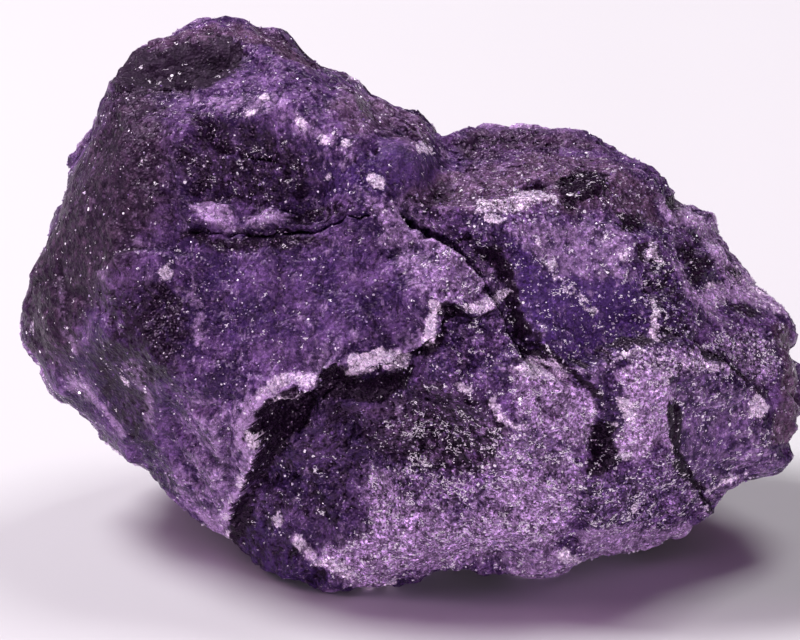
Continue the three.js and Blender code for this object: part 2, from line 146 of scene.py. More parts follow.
class Ground:
    """Uneven ground that comes out the same on every run."""

    @staticmethod
    def scatter(cells: Points, salt: int) -> Numbers:
        """Gives each lattice cell a number of its own.

        Args:
            cells: whole-number cells, as rows.
            salt: keeps one kind of scatter apart from the next.

        Returns:
            Numbers from 0 to 1.
        """
        whole = cells.astype(np.int64).astype(np.uint32)
        with np.errstate(over="ignore"):
            h = whole[:, 0] * np.uint32(374761393)
            h = h + whole[:, 1] * np.uint32(668265263)
            h = h + whole[:, 2] * np.uint32(1440662683)
            h = h + np.uint32((salt * 974634777) & 0xFFFFFFFF)
            h = (h ^ (h >> np.uint32(13))) * np.uint32(1274126177)
            h = (h ^ (h >> np.uint32(15))) * np.uint32(461845907)
        return (h ^ (h >> np.uint32(16))).astype(np.float64) / 4294967296.0

    @staticmethod
    def noise(at: Points, size: float, salt: int) -> Numbers:
        """Makes smooth lumps.

        Args:
            at: points, as rows.
            size: of the lumps.
            salt: keeps this noise apart from others.

        Returns:
            Heights from -1 to 1.
        """
        cells = at / size
        corner = np.floor(cells)
        eased = ramp(0, 1, cells - corner)
        total = np.zeros(len(at))
        for n in range(8):
            step = np.array([n & 1, (n >> 1) & 1, n >> 2])
            share = np.prod(np.where(step == 1, eased, 1 - eased), axis=1)
            total += share * (2 * Ground.scatter(corner + step, salt) - 1)
        return total

    @staticmethod
    def chips(at: Points, size: float, salt: int, sharpness: float) -> Numbers:
        """Makes chipped ground: each seed near a point has one tilted chip, and the nearest counts most.

        Args:
            at: points, as rows.
            size: of the chips.
            salt: keeps these chips apart from others.
            sharpness: how quickly one chip gives way to the next.

        Returns:
            Heights, about a third of the size at most.
        """
        cells = at / size
        corner = np.floor(cells)
        total = np.zeros(len(at))
        height = np.zeros(len(at))
        for n in range(27):
            seed = corner + np.array([n % 3 - 1, n // 3 % 3 - 1, n // 9 - 1])
            middle = np.stack([Ground.scatter(seed, salt + axis) for axis in range(3)], axis=1)
            tilt = np.stack([2 * Ground.scatter(seed, salt + 3 + axis) - 1 for axis in range(3)], axis=1)
            away = cells - seed - middle
            weight = np.exp(-sharpness * np.sum(away**2, axis=1))
            height += weight * np.sum(away * tilt, axis=1) * size
            total += weight
        return height / total


@dataclass(frozen=True)
class Layer:
    """One layer of uneven ground: the size of its lumps or chips, how far they reach, and its salt."""

    size: float
    reach: float
    salt: int

    def noise(self, at: Points, axis: int = 0) -> Numbers:
        """Makes smooth lumps, different ones for each axis."""
        return self.reach * Ground.noise(at, self.size, self.salt + axis)

    def chips(self, at: Points, sharpness: float) -> Numbers:
        """Makes chipped ground."""
        return self.reach * Ground.chips(at, self.size, self.salt, sharpness)


@dataclass(frozen=True)
class Face:
    """A flat fracture face: which way it faces, and how deep it bites into the body."""

    name: str
    toward: tuple[float, float, float]
    bite: float


@dataclass(frozen=True)
class Area:
    """Ground that lies lower than its surroundings: it drops by the wall and runs out to the open edge."""

    name: str
    side: Side
    wall: tuple
    open_edge: tuple
    drop: float
    cliff: float
    run: float

    def height(self, at: Points) -> Numbers:
        """Reads the area's height.

        Args:
            at: points of the drawing.

        Returns:
            Heights, below zero inside the area.
        """
        inside = is_inside(at, self.wall + self.open_edge)
        open_line = (self.wall[-1], *self.open_edge, self.wall[0])
        fall = ramp(0, self.cliff, distance_to_line(at, self.wall))
        return np.where(inside, -self.drop * fall * ramp(0, self.run, distance_to_line(at, open_line)), 0)


@dataclass(frozen=True)
class Crack:
    """A crack: the line that it follows, its half width and its depth."""

    name: str
    side: Side
    line: tuple
    half: float
    depth: float

    TIP = 0.45
    TAPER = 3

    def height(self, at: Points) -> Numbers:
        """Reads the crack's height.

        Args:
            at: points of the drawing.

        Returns:
            Heights, below zero in the crack.
        """
        ends = [np.hypot(at[:, 0] - end[0], at[:, 1] - end[1]) for end in (self.line[0], self.line[-1])]
        from_end = np.minimum(*ends)
        width = self.half * (self.TIP + (1 - self.TIP) * ramp(0, self.TAPER * self.half, from_end))
        opened = 1 - ramp(0, 1, distance_to_line(at, self.line) / width)
        return -self.depth * opened * ramp(0, self.half, from_end)


@dataclass(frozen=True)
class Oval:
    """A turned oval on a drawing."""

    name: str
    at: tuple[float, float]
    half: tuple[float, float]
    turn: float

    MIDDLE = 0.25

    def share(self, at: Points) -> Numbers:
        """Reads how strongly the oval counts.

        Args:
            at: points of the drawing.

        Returns:
            1 in the middle, 0 at the edge and beyond.
        """
        turn = math.radians(self.turn)
        du = at[:, 0] - self.at[0]
        dv = at[:, 1] - self.at[1]
        along = (du * math.cos(turn) + dv * math.sin(turn)) / self.half[0]
        across = (dv * math.cos(turn) - du * math.sin(turn)) / self.half[1]
        return 1 - ramp(self.MIDDLE, 1, np.hypot(along, across))


@dataclass(frozen=True)
class Knob(Oval):
    """A knob, or a pit where its height is below zero."""

    tall: float
    side: Side = Side.FRONT

    def height(self, at: Points) -> Numbers:
        """Reads the knob's height."""
        return self.tall * self.share(at)


@dataclass(frozen=True)
class CalmGround(Oval):
    """Ground where swells and chips keep only a share of their height."""

    keep: float
    fine_keep: float


@dataclass(frozen=True)
class Fibres:
    """Fine ridges that run one way over an oval of the display side."""

    ground: Oval
    ridges: Layer
    squeeze: tuple[float, float]
    run: float = 0

    def height(self, at: Points) -> Numbers:
        """Reads the ridges' height.

        Args:
            at: points of the drawing.

        Returns:
            Small heights.
        """
        turn = math.radians(self.run)
        along = (at[:, 0] * math.cos(turn) + at[:, 1] * math.sin(turn)) * self.squeeze[0]
        across = (at[:, 1] * math.cos(turn) - at[:, 0] * math.sin(turn)) * self.squeeze[1]
        return self.ground.share(at) * self.ridges.noise(np.stack([along, across, 0 * along], axis=1))


@dataclass(frozen=True)
class Zone:
    """A zone of the display side with an edge of its own, and the tones that colour it."""

    name: str
    ring: tuple
    tones: dict
    edge: float = 0.25

    def share(self, at: Points) -> Numbers:
        """Reads how strongly the zone counts: 1 inside, 0 outside, and soft over its edge."""
        away = distance_to_line(at, (*self.ring, self.ring[0]))
        return ramp(-self.edge, self.edge, np.where(is_inside(at, self.ring), away, -away))


@dataclass(frozen=True)
class Spot(Oval):
    """A spot of the display side, and the tones that colour it."""

    tones: dict


@dataclass(frozen=True)
class Streak:
    """A streak along a line on the display side, and the tones that colour it."""

    name: str
    line: tuple
    half: float
    tones: dict

    EDGE = (0.5, 1.1)

    def share(self, at: Points) -> Numbers:
        """Reads how strongly the streak counts."""
        return 1 - ramp(*self.EDGE, distance_to_line(at, self.line) / self.half)


@dataclass(frozen=True)
class Rim:
    """What colours the rim of a lower area: its brow above the cliff, and painted shade at the foot of the
    cliff.
    """

    area: str
    frost: float
    lilac: float
    dark: float
    strength: float


@dataclass(frozen=True)
class Scatter:
    """How a tone follows the four noises on the sides that the drawing doesn't reach."""

    start: float
    broad: float = 0
    middle: float = 0
    fine: float = 0
    other: float = 0
    most: float = 0.9


@dataclass
class Surface:
    """The worked-out surface, point by point.

    place is [x, y, z] round the origin, drawn the place on the display side's drawing that the relief was
    read at, and front the display side's share of the say.
    """

    place: Points
    drawn: Points
    front: Numbers


OUTLINE = (
    (-12.8, 24.1), (-13.7, 22.8), (-15.2, 19.8), (-16.6, 17.2), (-17.1, 15.6), (-17.9, 13.6),
    (-19, 12), (-19.4, 10.35), (-18.85, 8.45), (-16.95, 5.9), (-15.4, 4.5), (-13.1, 2.55),
    (-10.3, -0.25), (-8.4, -1.9), (-5.45, -2.9), (-2.15, -3.45), (-0.15, -3.25), (1.15, -2.65),
    (2.6, -1.95), (4.65, -2.15), (5.3, -2.55), (6.3, -3.2), (7, -2.95), (8.25, -2.2), (9.7, -1.85),
    (13, -1.5), (14.5, -0.8), (14.65, -0.2), (15.7, 0.3), (17.65, 1.45), (18.35, 2.5), (18.5, 3.75),
    (19.2, 5.75), (19.35, 6.9), (18.75, 9.1), (18.8, 9.7), (18.5, 10.65), (17.35, 11.7),
    (15.8, 13.3), (15.55, 14), (14.7, 15.15), (13.9, 15.3), (13, 16), (12.4, 16.5), (11.5, 17.5),
    (10.35, 18), (8.65, 18.95), (6.65, 19.8), (5.1, 19.8), (2.65, 19.3), (1.55, 18.8), (1.05, 19.45),
    (0.4, 20.1), (-0.6, 20.4), (-1.9, 20.7), (-2.45, 21.4), (-3.25, 21.8), (-4.2, 22.15),
    (-5.1, 22.9), (-5.7, 23.6), (-7.3, 24.15), (-7.95, 24.6), (-9.7, 24.65), (-11.6, 24.35),
)

FACES = (
    Face("broad plate", (-0.22, 0.1, 1), 1.2),
    Face("brow", (-0.35, 0.78, 0.62), 1.5),
    Face("left end", (-0.86, 0, 0.52), 1.4),
    Face("left underside", (-0.6, -0.6, 0.53), 1.5),
    Face("lower front", (-0.12, -0.6, 0.79), 1.1),
    Face("front knee", (0.3, -0.32, 0.9), 0.6),
    Face("smooth panel", (0.28, 0.36, 0.89), 1.2),
    Face("right facet", (0.72, -0.22, 0.66), 1.5),
    Face("right shoulder", (0.66, 0.5, 0.56), 1.7),
    Face("right underside", (0.5, -0.78, 0.38), 1.5),
    Face("left of the sole", (-0.42, -0.84, -0.34), 1.8),
    Face("right of the sole", (0.42, -0.84, -0.34), 2.1),
    Face("back of the sole", (0, -0.7, -0.71), 1.7),
    Face("back", (0.1, 0.25, -0.96), 1.7),
    Face("back left", (-0.66, 0.15, -0.74), 1.5),
    Face("back right", (0.7, -0.1, -0.7), 1.6),
    Face("back foot", (-0.1, -0.62, -0.78), 1.9),
    Face("back crown", (-0.42, 0.76, -0.5), 1.1),
)

AREAS = (
    Area(
        "hollow under the broad plate", Side.FRONT,
        (
            (-8.9, -0.75), (-8.5, 1), (-8, 2.1), (-7.55, 3.25), (-7.7, 4.75), (-7.4, 5.9), (-6.25, 6.2),
            (-4.6, 6.75), (-4.4, 7.5), (-3.75, 7.9), (-2.9, 7.35), (-1.25, 7.6), (0.25, 8.4), (1, 9.2),
            (1.35, 10.1), (1.4, 10.9),
        ),
        (
            (2, 10.85), (2.4, 9), (2, 7.4), (3.5, 6.4), (4.75, 4.75), (4.5, 2.5), (3, 1), (0.5, -0.5),
            (-2, -2), (-5.5, -2.25), (-8.25, -1.75),
        ),
        drop=2.3, cliff=0.35, run=3.6,
    ),
    Area(
        "step at the plate's corner", Side.FRONT,
        (
            (1.1, 8.75), (1.35, 10.1), (1.4, 10.9), (2, 10.9), (2.6, 10.35), (3.4, 10.15), (4.2, 10.4),
            (4.55, 11.1),
        ),
        ((5.1, 9.5), (5.5, 8.4), (4.5, 7.4), (3, 7), (1.5, 7.4)),
        drop=1.2, cliff=0.3, run=1.6,
    ),
    Area(
        "sunk field above the seam", Side.FRONT,
        (
            (-10.9, 18.5), (-11.1, 16), (-10.9, 14.45), (-9, 14.35), (-7, 14.4), (-5.5, 14.5),
            (-3.9, 14.65), (-2.9, 15.1),
        ),
        ((-2.9, 17), (-3.75, 19), (-5.5, 19.75), (-8, 20.1), (-10.25, 19.9)),
        drop=1, cliff=0.9, run=2,
    ),
    Area(
        "dark scoop under the peak", Side.FRONT,
        ((-14.6, 21.4), (-13, 21.2), (-11.2, 21.35), (-9.8, 21.65), (-8.6, 22.2)),
        ((-8.7, 23.25), (-9.75, 23.9), (-12.25, 23.6), (-14, 22.9)),
        drop=1.1, cliff=0.35, run=1.3,
    ),
    Area(
        "foot of the smooth panel", Side.FRONT,
        (
            (5.9, 8.3), (6.9, 7.9), (8.25, 7.7), (9.6, 7.8), (9.8, 8.35), (11, 8.7), (12.6, 8.8),
            (13.9, 8.5),
        ),
        ((14, 10), (13.8, 11.5), (13, 13.5), (9.5, 11.5), (6.5, 10.5)),
        drop=0.9, cliff=0.3, run=2.6,
    ),
    Area(
        "flank right of the block", Side.FRONT,
        (
            (12.5, 16.15), (12.7, 14.75), (13.1, 13), (13.8, 11.5), (14.05, 9.75), (14, 8.5),
            (15.1, 7.9), (16.4, 7.1), (17.1, 6.4),
        ),
        ((18.25, 6), (19.5, 8), (19, 11.5), (16.5, 14), (14.5, 16), (13.25, 16.5)),
        drop=1.3, cliff=0.5, run=1.8,
    ),
    Area(
        "smooth facet right of the tongue", Side.FRONT,
        (
            (12.9, 7.7), (12.95, 6.4), (12.65, 5.4), (12.6, 4.4), (12.9, 3.5), (13.5, 2.7), (14, 1.8),
            (14.45, 0.85), (14.6, 0),
        ),
        ((16.5, 0.25), (18.25, 2), (17.9, 4.5), (17.25, 6), (15.5, 7.2), (14, 7.6)),
        drop=1, cliff=0.35, run=2.4,
    ),
    Area(
        "fracture bowl of the far side", Side.BACK,
        ((-11, 17), (-8, 18.5), (-4.5, 18), (-1, 19), (2.5, 17.5), (4, 14.5), (3.5, 11.5)),
        ((0, 7), (-5, 5), (-10, 8), (-12.5, 12)),
        drop=1.4, cliff=0.5, run=4,
    ),
    Area(
        "step low on the far side", Side.BACK,
        ((4, 11), (7.5, 10.2), (10, 11.2), (13, 10.4), (16.5, 11)),
        ((17, 6), (13, 3.5), (8, 3.5), (4.5, 6)),
        drop=1, cliff=0.4, run=3,
    ),
)

CRACKS = (
    Crack(
        "main crack", Side.FRONT,
        (
            (-0.7, 16.2), (0.25, 15.35), (1.3, 14.6), (2.55, 13.7), (3.55, 12.95), (4.3, 12.1),
            (4.75, 11.1), (5.15, 10.1), (5.55, 8.9), (6.1, 8.15), (7, 7.7), (8.1, 6.8),
        ),
        half=0.75, depth=1.9,
    ),
    Crack(
        "seam over the broad plate", Side.FRONT,
        ((-10.9, 14.4), (-9, 14.3), (-7, 14.3), (-5.5, 14.4), (-3.9, 14.6), (-2, 15.2)),
        half=0.3, depth=0.5,
    ),
    Crack(
        "slit in the block", Side.FRONT,
        ((11.6, 13.6), (11.75, 12.6), (11.9, 11.6), (12.1, 10.7)),
        half=0.3, depth=0.6,
    ),
    Crack(
        "crack of the far side", Side.BACK,
        ((3.6, 18.2), (4.4, 14.5), (5.6, 11.5), (5.2, 8.5), (6.5, 5.5), (6.8, 3)),
        half=0.5, depth=1,
    ),
)

KNOBS = (
    Knob("boss in the notch", (-0.1, 17.7), (1.9, 1.3), -10, 0.6),
    Knob("left hump on the seam", (-9.6, 15.3), (1.9, 1), 5, 1),
    Knob("right hump on the seam", (-6.8, 15.1), (1.6, 0.8), 0, 0.9),
    Knob("lump behind the shelf", (5.8, 19.2), (4.4, 1), -6, 0.8),
    Knob("knuckle on the ridge", (-3.1, 20.6), (1.3, 0.8), -35, 0.6),
    Knob("pocket under the plate", (-6.6, 4.7), (1.5, 1.9), 0, -1.1),
    Knob("dark gap under the ledge", (-2.6, 6.7), (2.4, 0.8), -4, -0.8),
    Knob("arch between the feet", (3, -2.7), (2.6, 1.1), 0, -1.3),
    Knob("pit in the front", (9.1, 4.25), (0.85, 1.5), 5, -0.9),
    Knob("dimple under the panel", (8.1, 7.2), (0.8, 0.5), -30, -0.5),
    Knob("tongue", (11.3, 5.9), (1.9, 2.9), -12, 0.5),
    Knob("upper knob of the shoulder", (13.6, 14.7), (1.2, 1.6), 20, 0.7),
    Knob("middle knob of the shoulder", (15.2, 12.9), (1.5, 1.2), -35, 0.7),
    Knob("lower knob of the shoulder", (17.6, 9.6), (1.7, 1.3), -40, 0.7),
    Knob("nose of the left end", (-18, 10.3), (1.5, 2.6), 8, 0.5),
    Knob("lump high on the far side", (-3, 20.5), (3, 1.8), 15, 0.7, Side.BACK),
    Knob("lump on the far right", (11, 13.5), (2.6, 2), -20, 0.8, Side.BACK),
    Knob("pit of the far side", (-7, 11), (1.8, 1.4), 30, -0.7, Side.BACK),
)

CALM_GROUND = (
    CalmGround("left flank", (-16, 15), (5, 10), -25, keep=0.4, fine_keep=0.35),
    CalmGround("left end", (-16, 6.5), (5.5, 6.5), 20, keep=0.5, fine_keep=0.4),
    CalmGround("smooth panel", (8, 11.6), (4.6, 4.2), -20, keep=0.15, fine_keep=0.12),
    CalmGround("smooth facet", (15.2, 3.7), (3, 3.2), -15, keep=0.25, fine_keep=0.2),
    CalmGround("middle of the plate", (-4.2, 10.8), (7, 4.4), 8, keep=0.5, fine_keep=0.7),
    CalmGround("boss", (-0.1, 17.7), (2.2, 1.6), -10, keep=0.3, fine_keep=0.15),
)

FIBRES = (
    Fibres(Oval("shelf", (7, 17), (6.2, 1.9), 0), Layer(0.42, 0.13, 71), (0.2, 1)),
    Fibres(Oval("smooth panel", (8.2, 11.5), (4.6, 4), -20), Layer(0.3, 0.035, 72), (0.2, 1), run=-38),
    Fibres(Oval("broad plate", (-3.5, 11), (7, 4), 0), Layer(0.5, 0.045, 73), (1, 0.18)),
)

MARKS = (
    Zone("right side", (
        (1, 15), (4, 18), (12, 17), (16, 14), (19, 9), (18, 3), (13, -2), (5, -3), (-2, -1), (-1, 5),
        (2, 9),
    ), {GLITTER: 0.42}, edge=1.5),
    Zone("left flank", (
        (-19.6, 8), (-19.4, 12.6), (-17.4, 16), (-15.8, 19.6), (-14, 22.6), (-12.2, 21.4), (-11.6, 18),
        (-12, 15), (-13.2, 12.6), (-15.4, 10.8), (-17, 8),
    ), {BROWN: 0.75, DARK: 0.6}, edge=1.5),
    Zone("left end", (
        (-15.9, 8.6), (-14.8, 9), (-14.8, 11.4), (-12, 12), (-11, 10.8), (-10.9, 9), (-11.4, 7.2),
        (-12.6, 6.6), (-12.8, 5), (-12.2, 3.6), (-14, 4.6), (-15, 5.4), (-15.8, 6.6),
    ), {DARK: 0.52, BLUE: 0.3}, edge=0.5),
    Zone("scoop under the peak", (
        (-14.6, 22.2), (-13.2, 23.6), (-11, 24), (-9.4, 24), (-8.4, 23.5), (-8.3, 22.5), (-9.4, 21.9),
        (-11, 21.4), (-12.6, 21.2), (-14, 21.4),
    ), {DARK: 1, CALM: 1}, edge=0.4),
    Zone("bottom of the scoop", (
        (-12.6, 21.9), (-10.5, 22.9), (-8.8, 23.2), (-8.9, 22.3), (-9.9, 21.9), (-11.4, 21.5),
    ), {DARK: 1, CALM: 1}),
    Streak("rim of the peak", (
        (-14, 23.4), (-12, 24), (-9, 24.3), (-7, 23.8), (-5, 22.6),
    ), 0.5, {BROWN: 0.8}),
    Zone("violet brow", (
        (-11.2, 21.3), (-9.6, 21.8), (-7, 22.1), (-8.3, 23.3), (-6, 23.2), (-4.4, 21.6), (-4, 20.4),
        (-3.2, 19.2), (-2.6, 18.2), (-3.2, 17.6), (-4.6, 18.4), (-6, 19.2), (-7.5, 19.7), (-9.8, 20.2),
    ), {LILAC: 0.08}),
    Streak("pale band of the brow", (
        (-11, 21), (-9.6, 20.7), (-8, 20.3), (-6.6, 20.2), (-5, 19.4), (-4, 18.9), (-2.8, 18.2),
    ), 0.55, {LILAC: 0.35, FROST: 0.08}),
    Zone("sunk field", (
        (-11, 20.2), (-9.6, 20), (-7.5, 19.5), (-6.6, 18.8), (-5.4, 18.4), (-4.8, 17.6), (-4.6, 16),
        (-5.6, 15.4), (-7.6, 15.6), (-9, 16.2), (-10.6, 16.2), (-11.2, 17.4),
    ), {DARK: 0.5, GLITTER: 0.3}, edge=0.7),
    Zone("blue ground by the boss", (
        (-4.6, 18.2), (-3, 17.4), (-2.2, 18.4), (-0.6, 18.8), (1.2, 18.2), (1.6, 17.2), (0.3, 16.3),
        (-1.6, 15.8), (-4, 15.6),
    ), {BLUE: 0.6, DARK: 0.15}),
    Zone("ridge lumps", (
        (-4, 20.4), (-3.4, 21.6), (-2, 21), (-0.8, 20.6), (0.5, 20.3), (1.1, 19.2), (0.8, 18.4),
        (-0.8, 18.9), (-3, 19),
    ), {BROWN: 0.7, LILAC: 0.3}, edge=0.4),
    Zone("left hump", (
        (-10.8, 15.6), (-9.8, 16), (-8.9, 15.9), (-8.4, 15.2), (-8, 14.6), (-9, 14.4), (-10.2, 14.8),
    ), {LILAC: 0.75, FROST: 0.2}, edge=0.15),
    Zone("right hump", (
        (-7.9, 15.2), (-6.9, 15.6), (-6.1, 15.2), (-5.6, 14.8), (-6.8, 14.5), (-8, 14.6),
    ), {LILAC: 0.75, FROST: 0.2}, edge=0.15),
    Zone("ground under the seam", (
        (-11, 14.2), (-8, 14.2), (-4, 14.5), (-2.2, 15.2), (-3, 15.4), (-5.6, 15), (-5.8, 14.4),
        (-4, 13.6), (-6, 13), (-8, 13.4), (-11, 13.6),
    ), {DARK: 0.6}),
    Zone("blue of the plate", (
        (-10.5, 13.6), (-5, 13.6), (-2, 14.2), (-1, 12.6), (0, 11.5), (0.2, 9.6), (-1, 9.2), (-4, 9.2),
        (-6, 8.6), (-9.6, 8), (-10, 11),
    ), {BLUE: 0.4, DARK: 0.1, GLITTER: 0.05}, edge=0.9),
    Zone("right of the plate", (
        (-2, 16), (-1, 15.6), (0.3, 15.6), (1.2, 14.9), (2.2, 14.2), (3.2, 13.6), (3.9, 12.7), (4.1, 11.5),
        (4.4, 10.9), (4.1, 10.3), (3, 10.1), (2.6, 10.9), (1.6, 11), (0.6, 11.2), (-0.4, 12.6),
        (-1.6, 14.5),
    ), {LILAC: 0.5, GLITTER: 0.2}, edge=0.3),
    Zone("middle block", (
        (1.4, 10), (3, 10), (4.3, 10.1), (5, 9.6), (5.3, 8.7), (5.9, 8.5), (5.2, 7.9), (4.9, 7.3),
        (3, 7.3), (1.4, 7.3), (0.2, 8), (1, 8.8),
    ), {BLUE: 0.4, LILAC: 0.2, GLITTER: 0.4}),
    # painted shade in the corner at the foot of the step's cliff
    Zone("dark corner", (
        (1.4, 10.9), (1.9, 11), (2.6, 10.4), (3, 10.1), (1.6, 10.1),
    ), {DARK: 0.9}, edge=0.1),
    Zone("blotch of the left end", (
        (-13.4, 11.6), (-11.6, 11.4), (-11.2, 9.6), (-11.8, 8.2), (-13, 8.6), (-14, 9.8),
    ), {DARK: 0.3}, edge=1),
    # painted shadow under the broad plate's ledge, in the pocket and the gap under the lip
    Zone("pocket", (
        (-7.5, 5.7), (-6.7, 6.1), (-5.8, 6.5), (-5, 6.6), (-4.6, 6), (-5, 5), (-5.6, 4.2), (-6.2, 3.6),
        (-7, 3.5), (-7.7, 4.1), (-7.6, 5),
    ), {DARK: 1}, edge=0.12),
    Zone("gap under the ledge", (
        (-4.6, 6.6), (-4.5, 7.4), (-3.7, 7.9), (-2.9, 7.6), (-2, 7.3), (-1, 7.5), (0, 7.9), (0.1, 7),
        (-0.2, 6.4), (-2, 6.2), (-3.6, 6.4), (-4.4, 6.2),
    ), {DARK: 1}, edge=0.15),
    Zone("floor of the hollow", (
        (-4.6, 6.2), (-2, 6), (0, 6.3), (0.6, 7), (3.5, 6.6), (4.6, 5.6), (5, 4.8), (4.6, 3.2), (3, 2.2),
        (0, 2.6), (-2, 3.6), (-2.2, 5), (-4.4, 4.6),
    ), {DARK: 0.42, BROWN: 0.4}),
    Zone("left floor of the hollow", (
        (-7.8, 3), (-6.2, 3.4), (-4, 4.8), (-2, 4.6), (-2, 2), (-3, 0), (-5, 0.5), (-6, -0.2), (-8, 0.8),
        (-8.6, 0.2),
    ), {DARK: 0.35, BLUE: 0.4, GLITTER: 0.2}, edge=0.5),
    Zone("glittering slope", (
        (-1.2, 4.8), (1, 5.6), (3.8, 5.6), (5, 4.6), (4.8, 3.4), (3.6, 2), (2.4, 0.8), (0.5, 0.8),
        (-0.4, 1.6), (-0.2, 3.4),
    ), {GLITTER: 1, BROWN: 0.2, LILAC: 0.35}, edge=0.4),
    Zone("foot of the hollow", (
        (-2, 2.6), (-0.6, 2.4), (0, 0.8), (2.5, 0.5), (4, 2.2), (5, 3.4), (5.6, 2.4), (7, 1.6), (7.8, 0),
        (7, -1.2), (5, -1.5), (2.5, -2), (0, -2.8), (-2, -3.1), (-3.8, -2.6), (-4.2, -1.2), (-2, -0.4),
    ), {LILAC: 0.85, GLITTER: 0.8, FROST: 0.1}, edge=0.5),
    Zone("left foot", (
        (-9, 0.4), (-8, 0.9), (-6.4, 0), (-4.8, -1.6), (-3.4, -2.6), (-4.5, -3.6), (-7, -3), (-9, -1.8),
    ), {BLUE: 0.7, DARK: 0.3}),
    Zone("left wedge", (
        (-12, 2.4), (-11, 3.4), (-11, 5), (-10.6, 6.6), (-9, 6.6), (-7.6, 6.2), (-7.6, 5.2), (-7.9, 4),
        (-7.8, 2.6), (-8.2, 1.4), (-9, 0.6), (-9, -0.6), (-10.4, -0.3), (-11.8, 1),
    ), {LILAC: 0.4}, edge=0.3),
    Streak("pale border of the wedge", (
        (-7.5, 6), (-7.9, 4), (-7.7, 2.8), (-8.1, 1.5), (-9, 0.6), (-9.2, -0.3), (-10.6, 0.4),
    ), 0.4, {LILAC: 0.95}),
    Streak("pale drop under the wedge", (
        (-5.4, -0.6), (-4.6, -1.3), (-3, -2.4),
    ), 0.4, {LILAC: 0.8, FROST: 0.5}),
    Zone("smooth panel", (
        (4, 14.3), (4.6, 13.6), (5, 12.4), (5.3, 11), (5.7, 9.8), (6, 8.6), (6.9, 8), (9.6, 7.9),
        (11.8, 8.6), (12, 9.6), (11.9, 11), (11.5, 12.2), (11.4, 14.2), (10.2, 14.9), (6, 14.8),
    ), {BLUE: 0.4, LILAC: 0.1}),
    Zone("deep blue of the panel", (
        (4.5, 14), (5.2, 13.8), (6.3, 12.6), (7.5, 12.1), (9.5, 12), (11.3, 12), (11.8, 9), (10, 8.1),
        (8, 7.9), (6.7, 8), (5.8, 8.8), (5.4, 10), (4.9, 11.8),
    ), {BLUE: 0.8}, edge=0.4),
    # lilac ground, lightened as a painted highlight on the smooth panel's top
    Zone("pale top of the panel", (
        (4.6, 14.6), (7, 15), (9.6, 14.9), (10.8, 14.2), (11.2, 12.9), (10.4, 12.3), (9, 12), (7.8, 12.1),
        (6.8, 13), (5.4, 13.6),
    ), {LILAC: 0.5}, edge=0.45),
    # blue ground, and painted shade on the face that turns away from the light
    Zone("right face of the block", (
        (11.6, 13.5), (12.2, 13.4), (13.1, 12.2), (13.7, 10.8), (13.9, 9.5), (13.8, 8.2), (12.2, 8.6),
        (12.1, 10), (11.8, 12),
    ), {DARK: 0.4, BLUE: 0.6, GLITTER: 0.7}),
    Zone("shelf", (
        (0, 15.4), (1.2, 16.8), (3, 17.8), (6, 18.2), (9.5, 17.9), (11.5, 17.2), (12.4, 16.2),
        (12.4, 14.8), (10.4, 15.1), (7, 15.2), (4.6, 15.1), (2.6, 15.3), (1.4, 15),
    ), {BROWN: 0.75, LILAC: 0.2}, edge=0.3),
    Zone("lump behind the shelf", (
        (1.9, 19.2), (2.7, 19.8), (5, 20.3), (6.6, 20.2), (8.6, 19.4), (10, 18.4), (6, 18.3), (3, 18),
    ), {BROWN: 0.6, DARK: 0.35, BLUE: 0.2}, edge=0.4),
    Zone("crust on the shelf", (
        (4.9, 16.6), (5.9, 16.7), (6.9, 16.1), (7, 15.4), (6.3, 15.3), (4.6, 15.2), (3.2, 15.2),
        (3.3, 15.9), (4.6, 16),
    ), {FROST: 0.5, GLITTER: 0.6}, edge=0.15),
    Zone("dark hole of the shelf", (
        (7.1, 17), (8.3, 17), (9.5, 17), (9.4, 16.3), (8.6, 15.6), (7.3, 15.5),
    ), {DARK: 0.95, GLITTER: 0.3}, edge=0.15),
    Zone("dark edge of the shelf", (
        (10, 15.3), (11.4, 15.4), (11.5, 14.7), (10.3, 14.4),
    ), {DARK: 0.8, GLITTER: 0.4}, edge=0.15),
    Zone("crust over the crack", (
        (3.4, 15.1), (4.8, 14.95), (4, 14.5), (3.5, 14.6),
    ), {FROST: 1}, edge=0.12),
    Zone("crust over the slit", (
        (11.7, 14), (12.1, 13.4), (12.3, 12.6), (11.9, 12.6), (11.6, 13.3),
    ), {FROST: 0.8}, edge=0.15),
    # painted shade in the slit
    Streak("slit", ((11.4, 13.7), (11.5, 12.7)), 0.16, {DARK: 1}),
    Streak("crust on the block's corner", (
        (12, 10.6), (11.95, 9.7), (12.1, 9),
    ), 0.25, {FROST: 0.7, GLITTER: 0.5}),
    Zone("crust under the panel", (
        (9.8, 8.2), (11, 8.5), (12.2, 8.8), (13.2, 8.3), (14.9, 8.3), (16, 7.6), (14, 7.3), (11, 7.5),
    ), {FROST: 0.35, GLITTER: 0.8, LILAC: 0.5}, edge=0.2),
    # painted shade in the main crack
    Streak("upper crack", ((0.3, 15.5), (1.6, 14.9), (3, 14.1), (3.8, 13.3)), 0.22, {DARK: 0.5}),
    Zone("pale shoulder", (
        (12.8, 16.4), (14, 15.9), (15.8, 14.6), (17, 12.6), (18.6, 11.4), (17, 11), (15.4, 12), (14.2, 14),
    ), {LILAC: 0.85, FROST: 0.25}, edge=0.4),
    # painted shade in the main crack, down to its end
    Streak("lower crack", (
        (3.8, 13.3), (4.2, 12.4), (4.6, 11.4), (4.9, 10.3), (5.4, 9.2),
    ), 0.5, {DARK: 1}),
    Streak("end of the crack", ((6.1, 8.9), (6.9, 8.1), (8, 7.4), (8.8, 6.7)), 0.22, {DARK: 0.95}),
    Zone("front lump", (
        (5, 7.9), (6.6, 8), (7.6, 7.6), (7.7, 7), (8.3, 6.9), (8.9, 6.2), (8.8, 5.6), (8.4, 5), (8.5, 4.4),
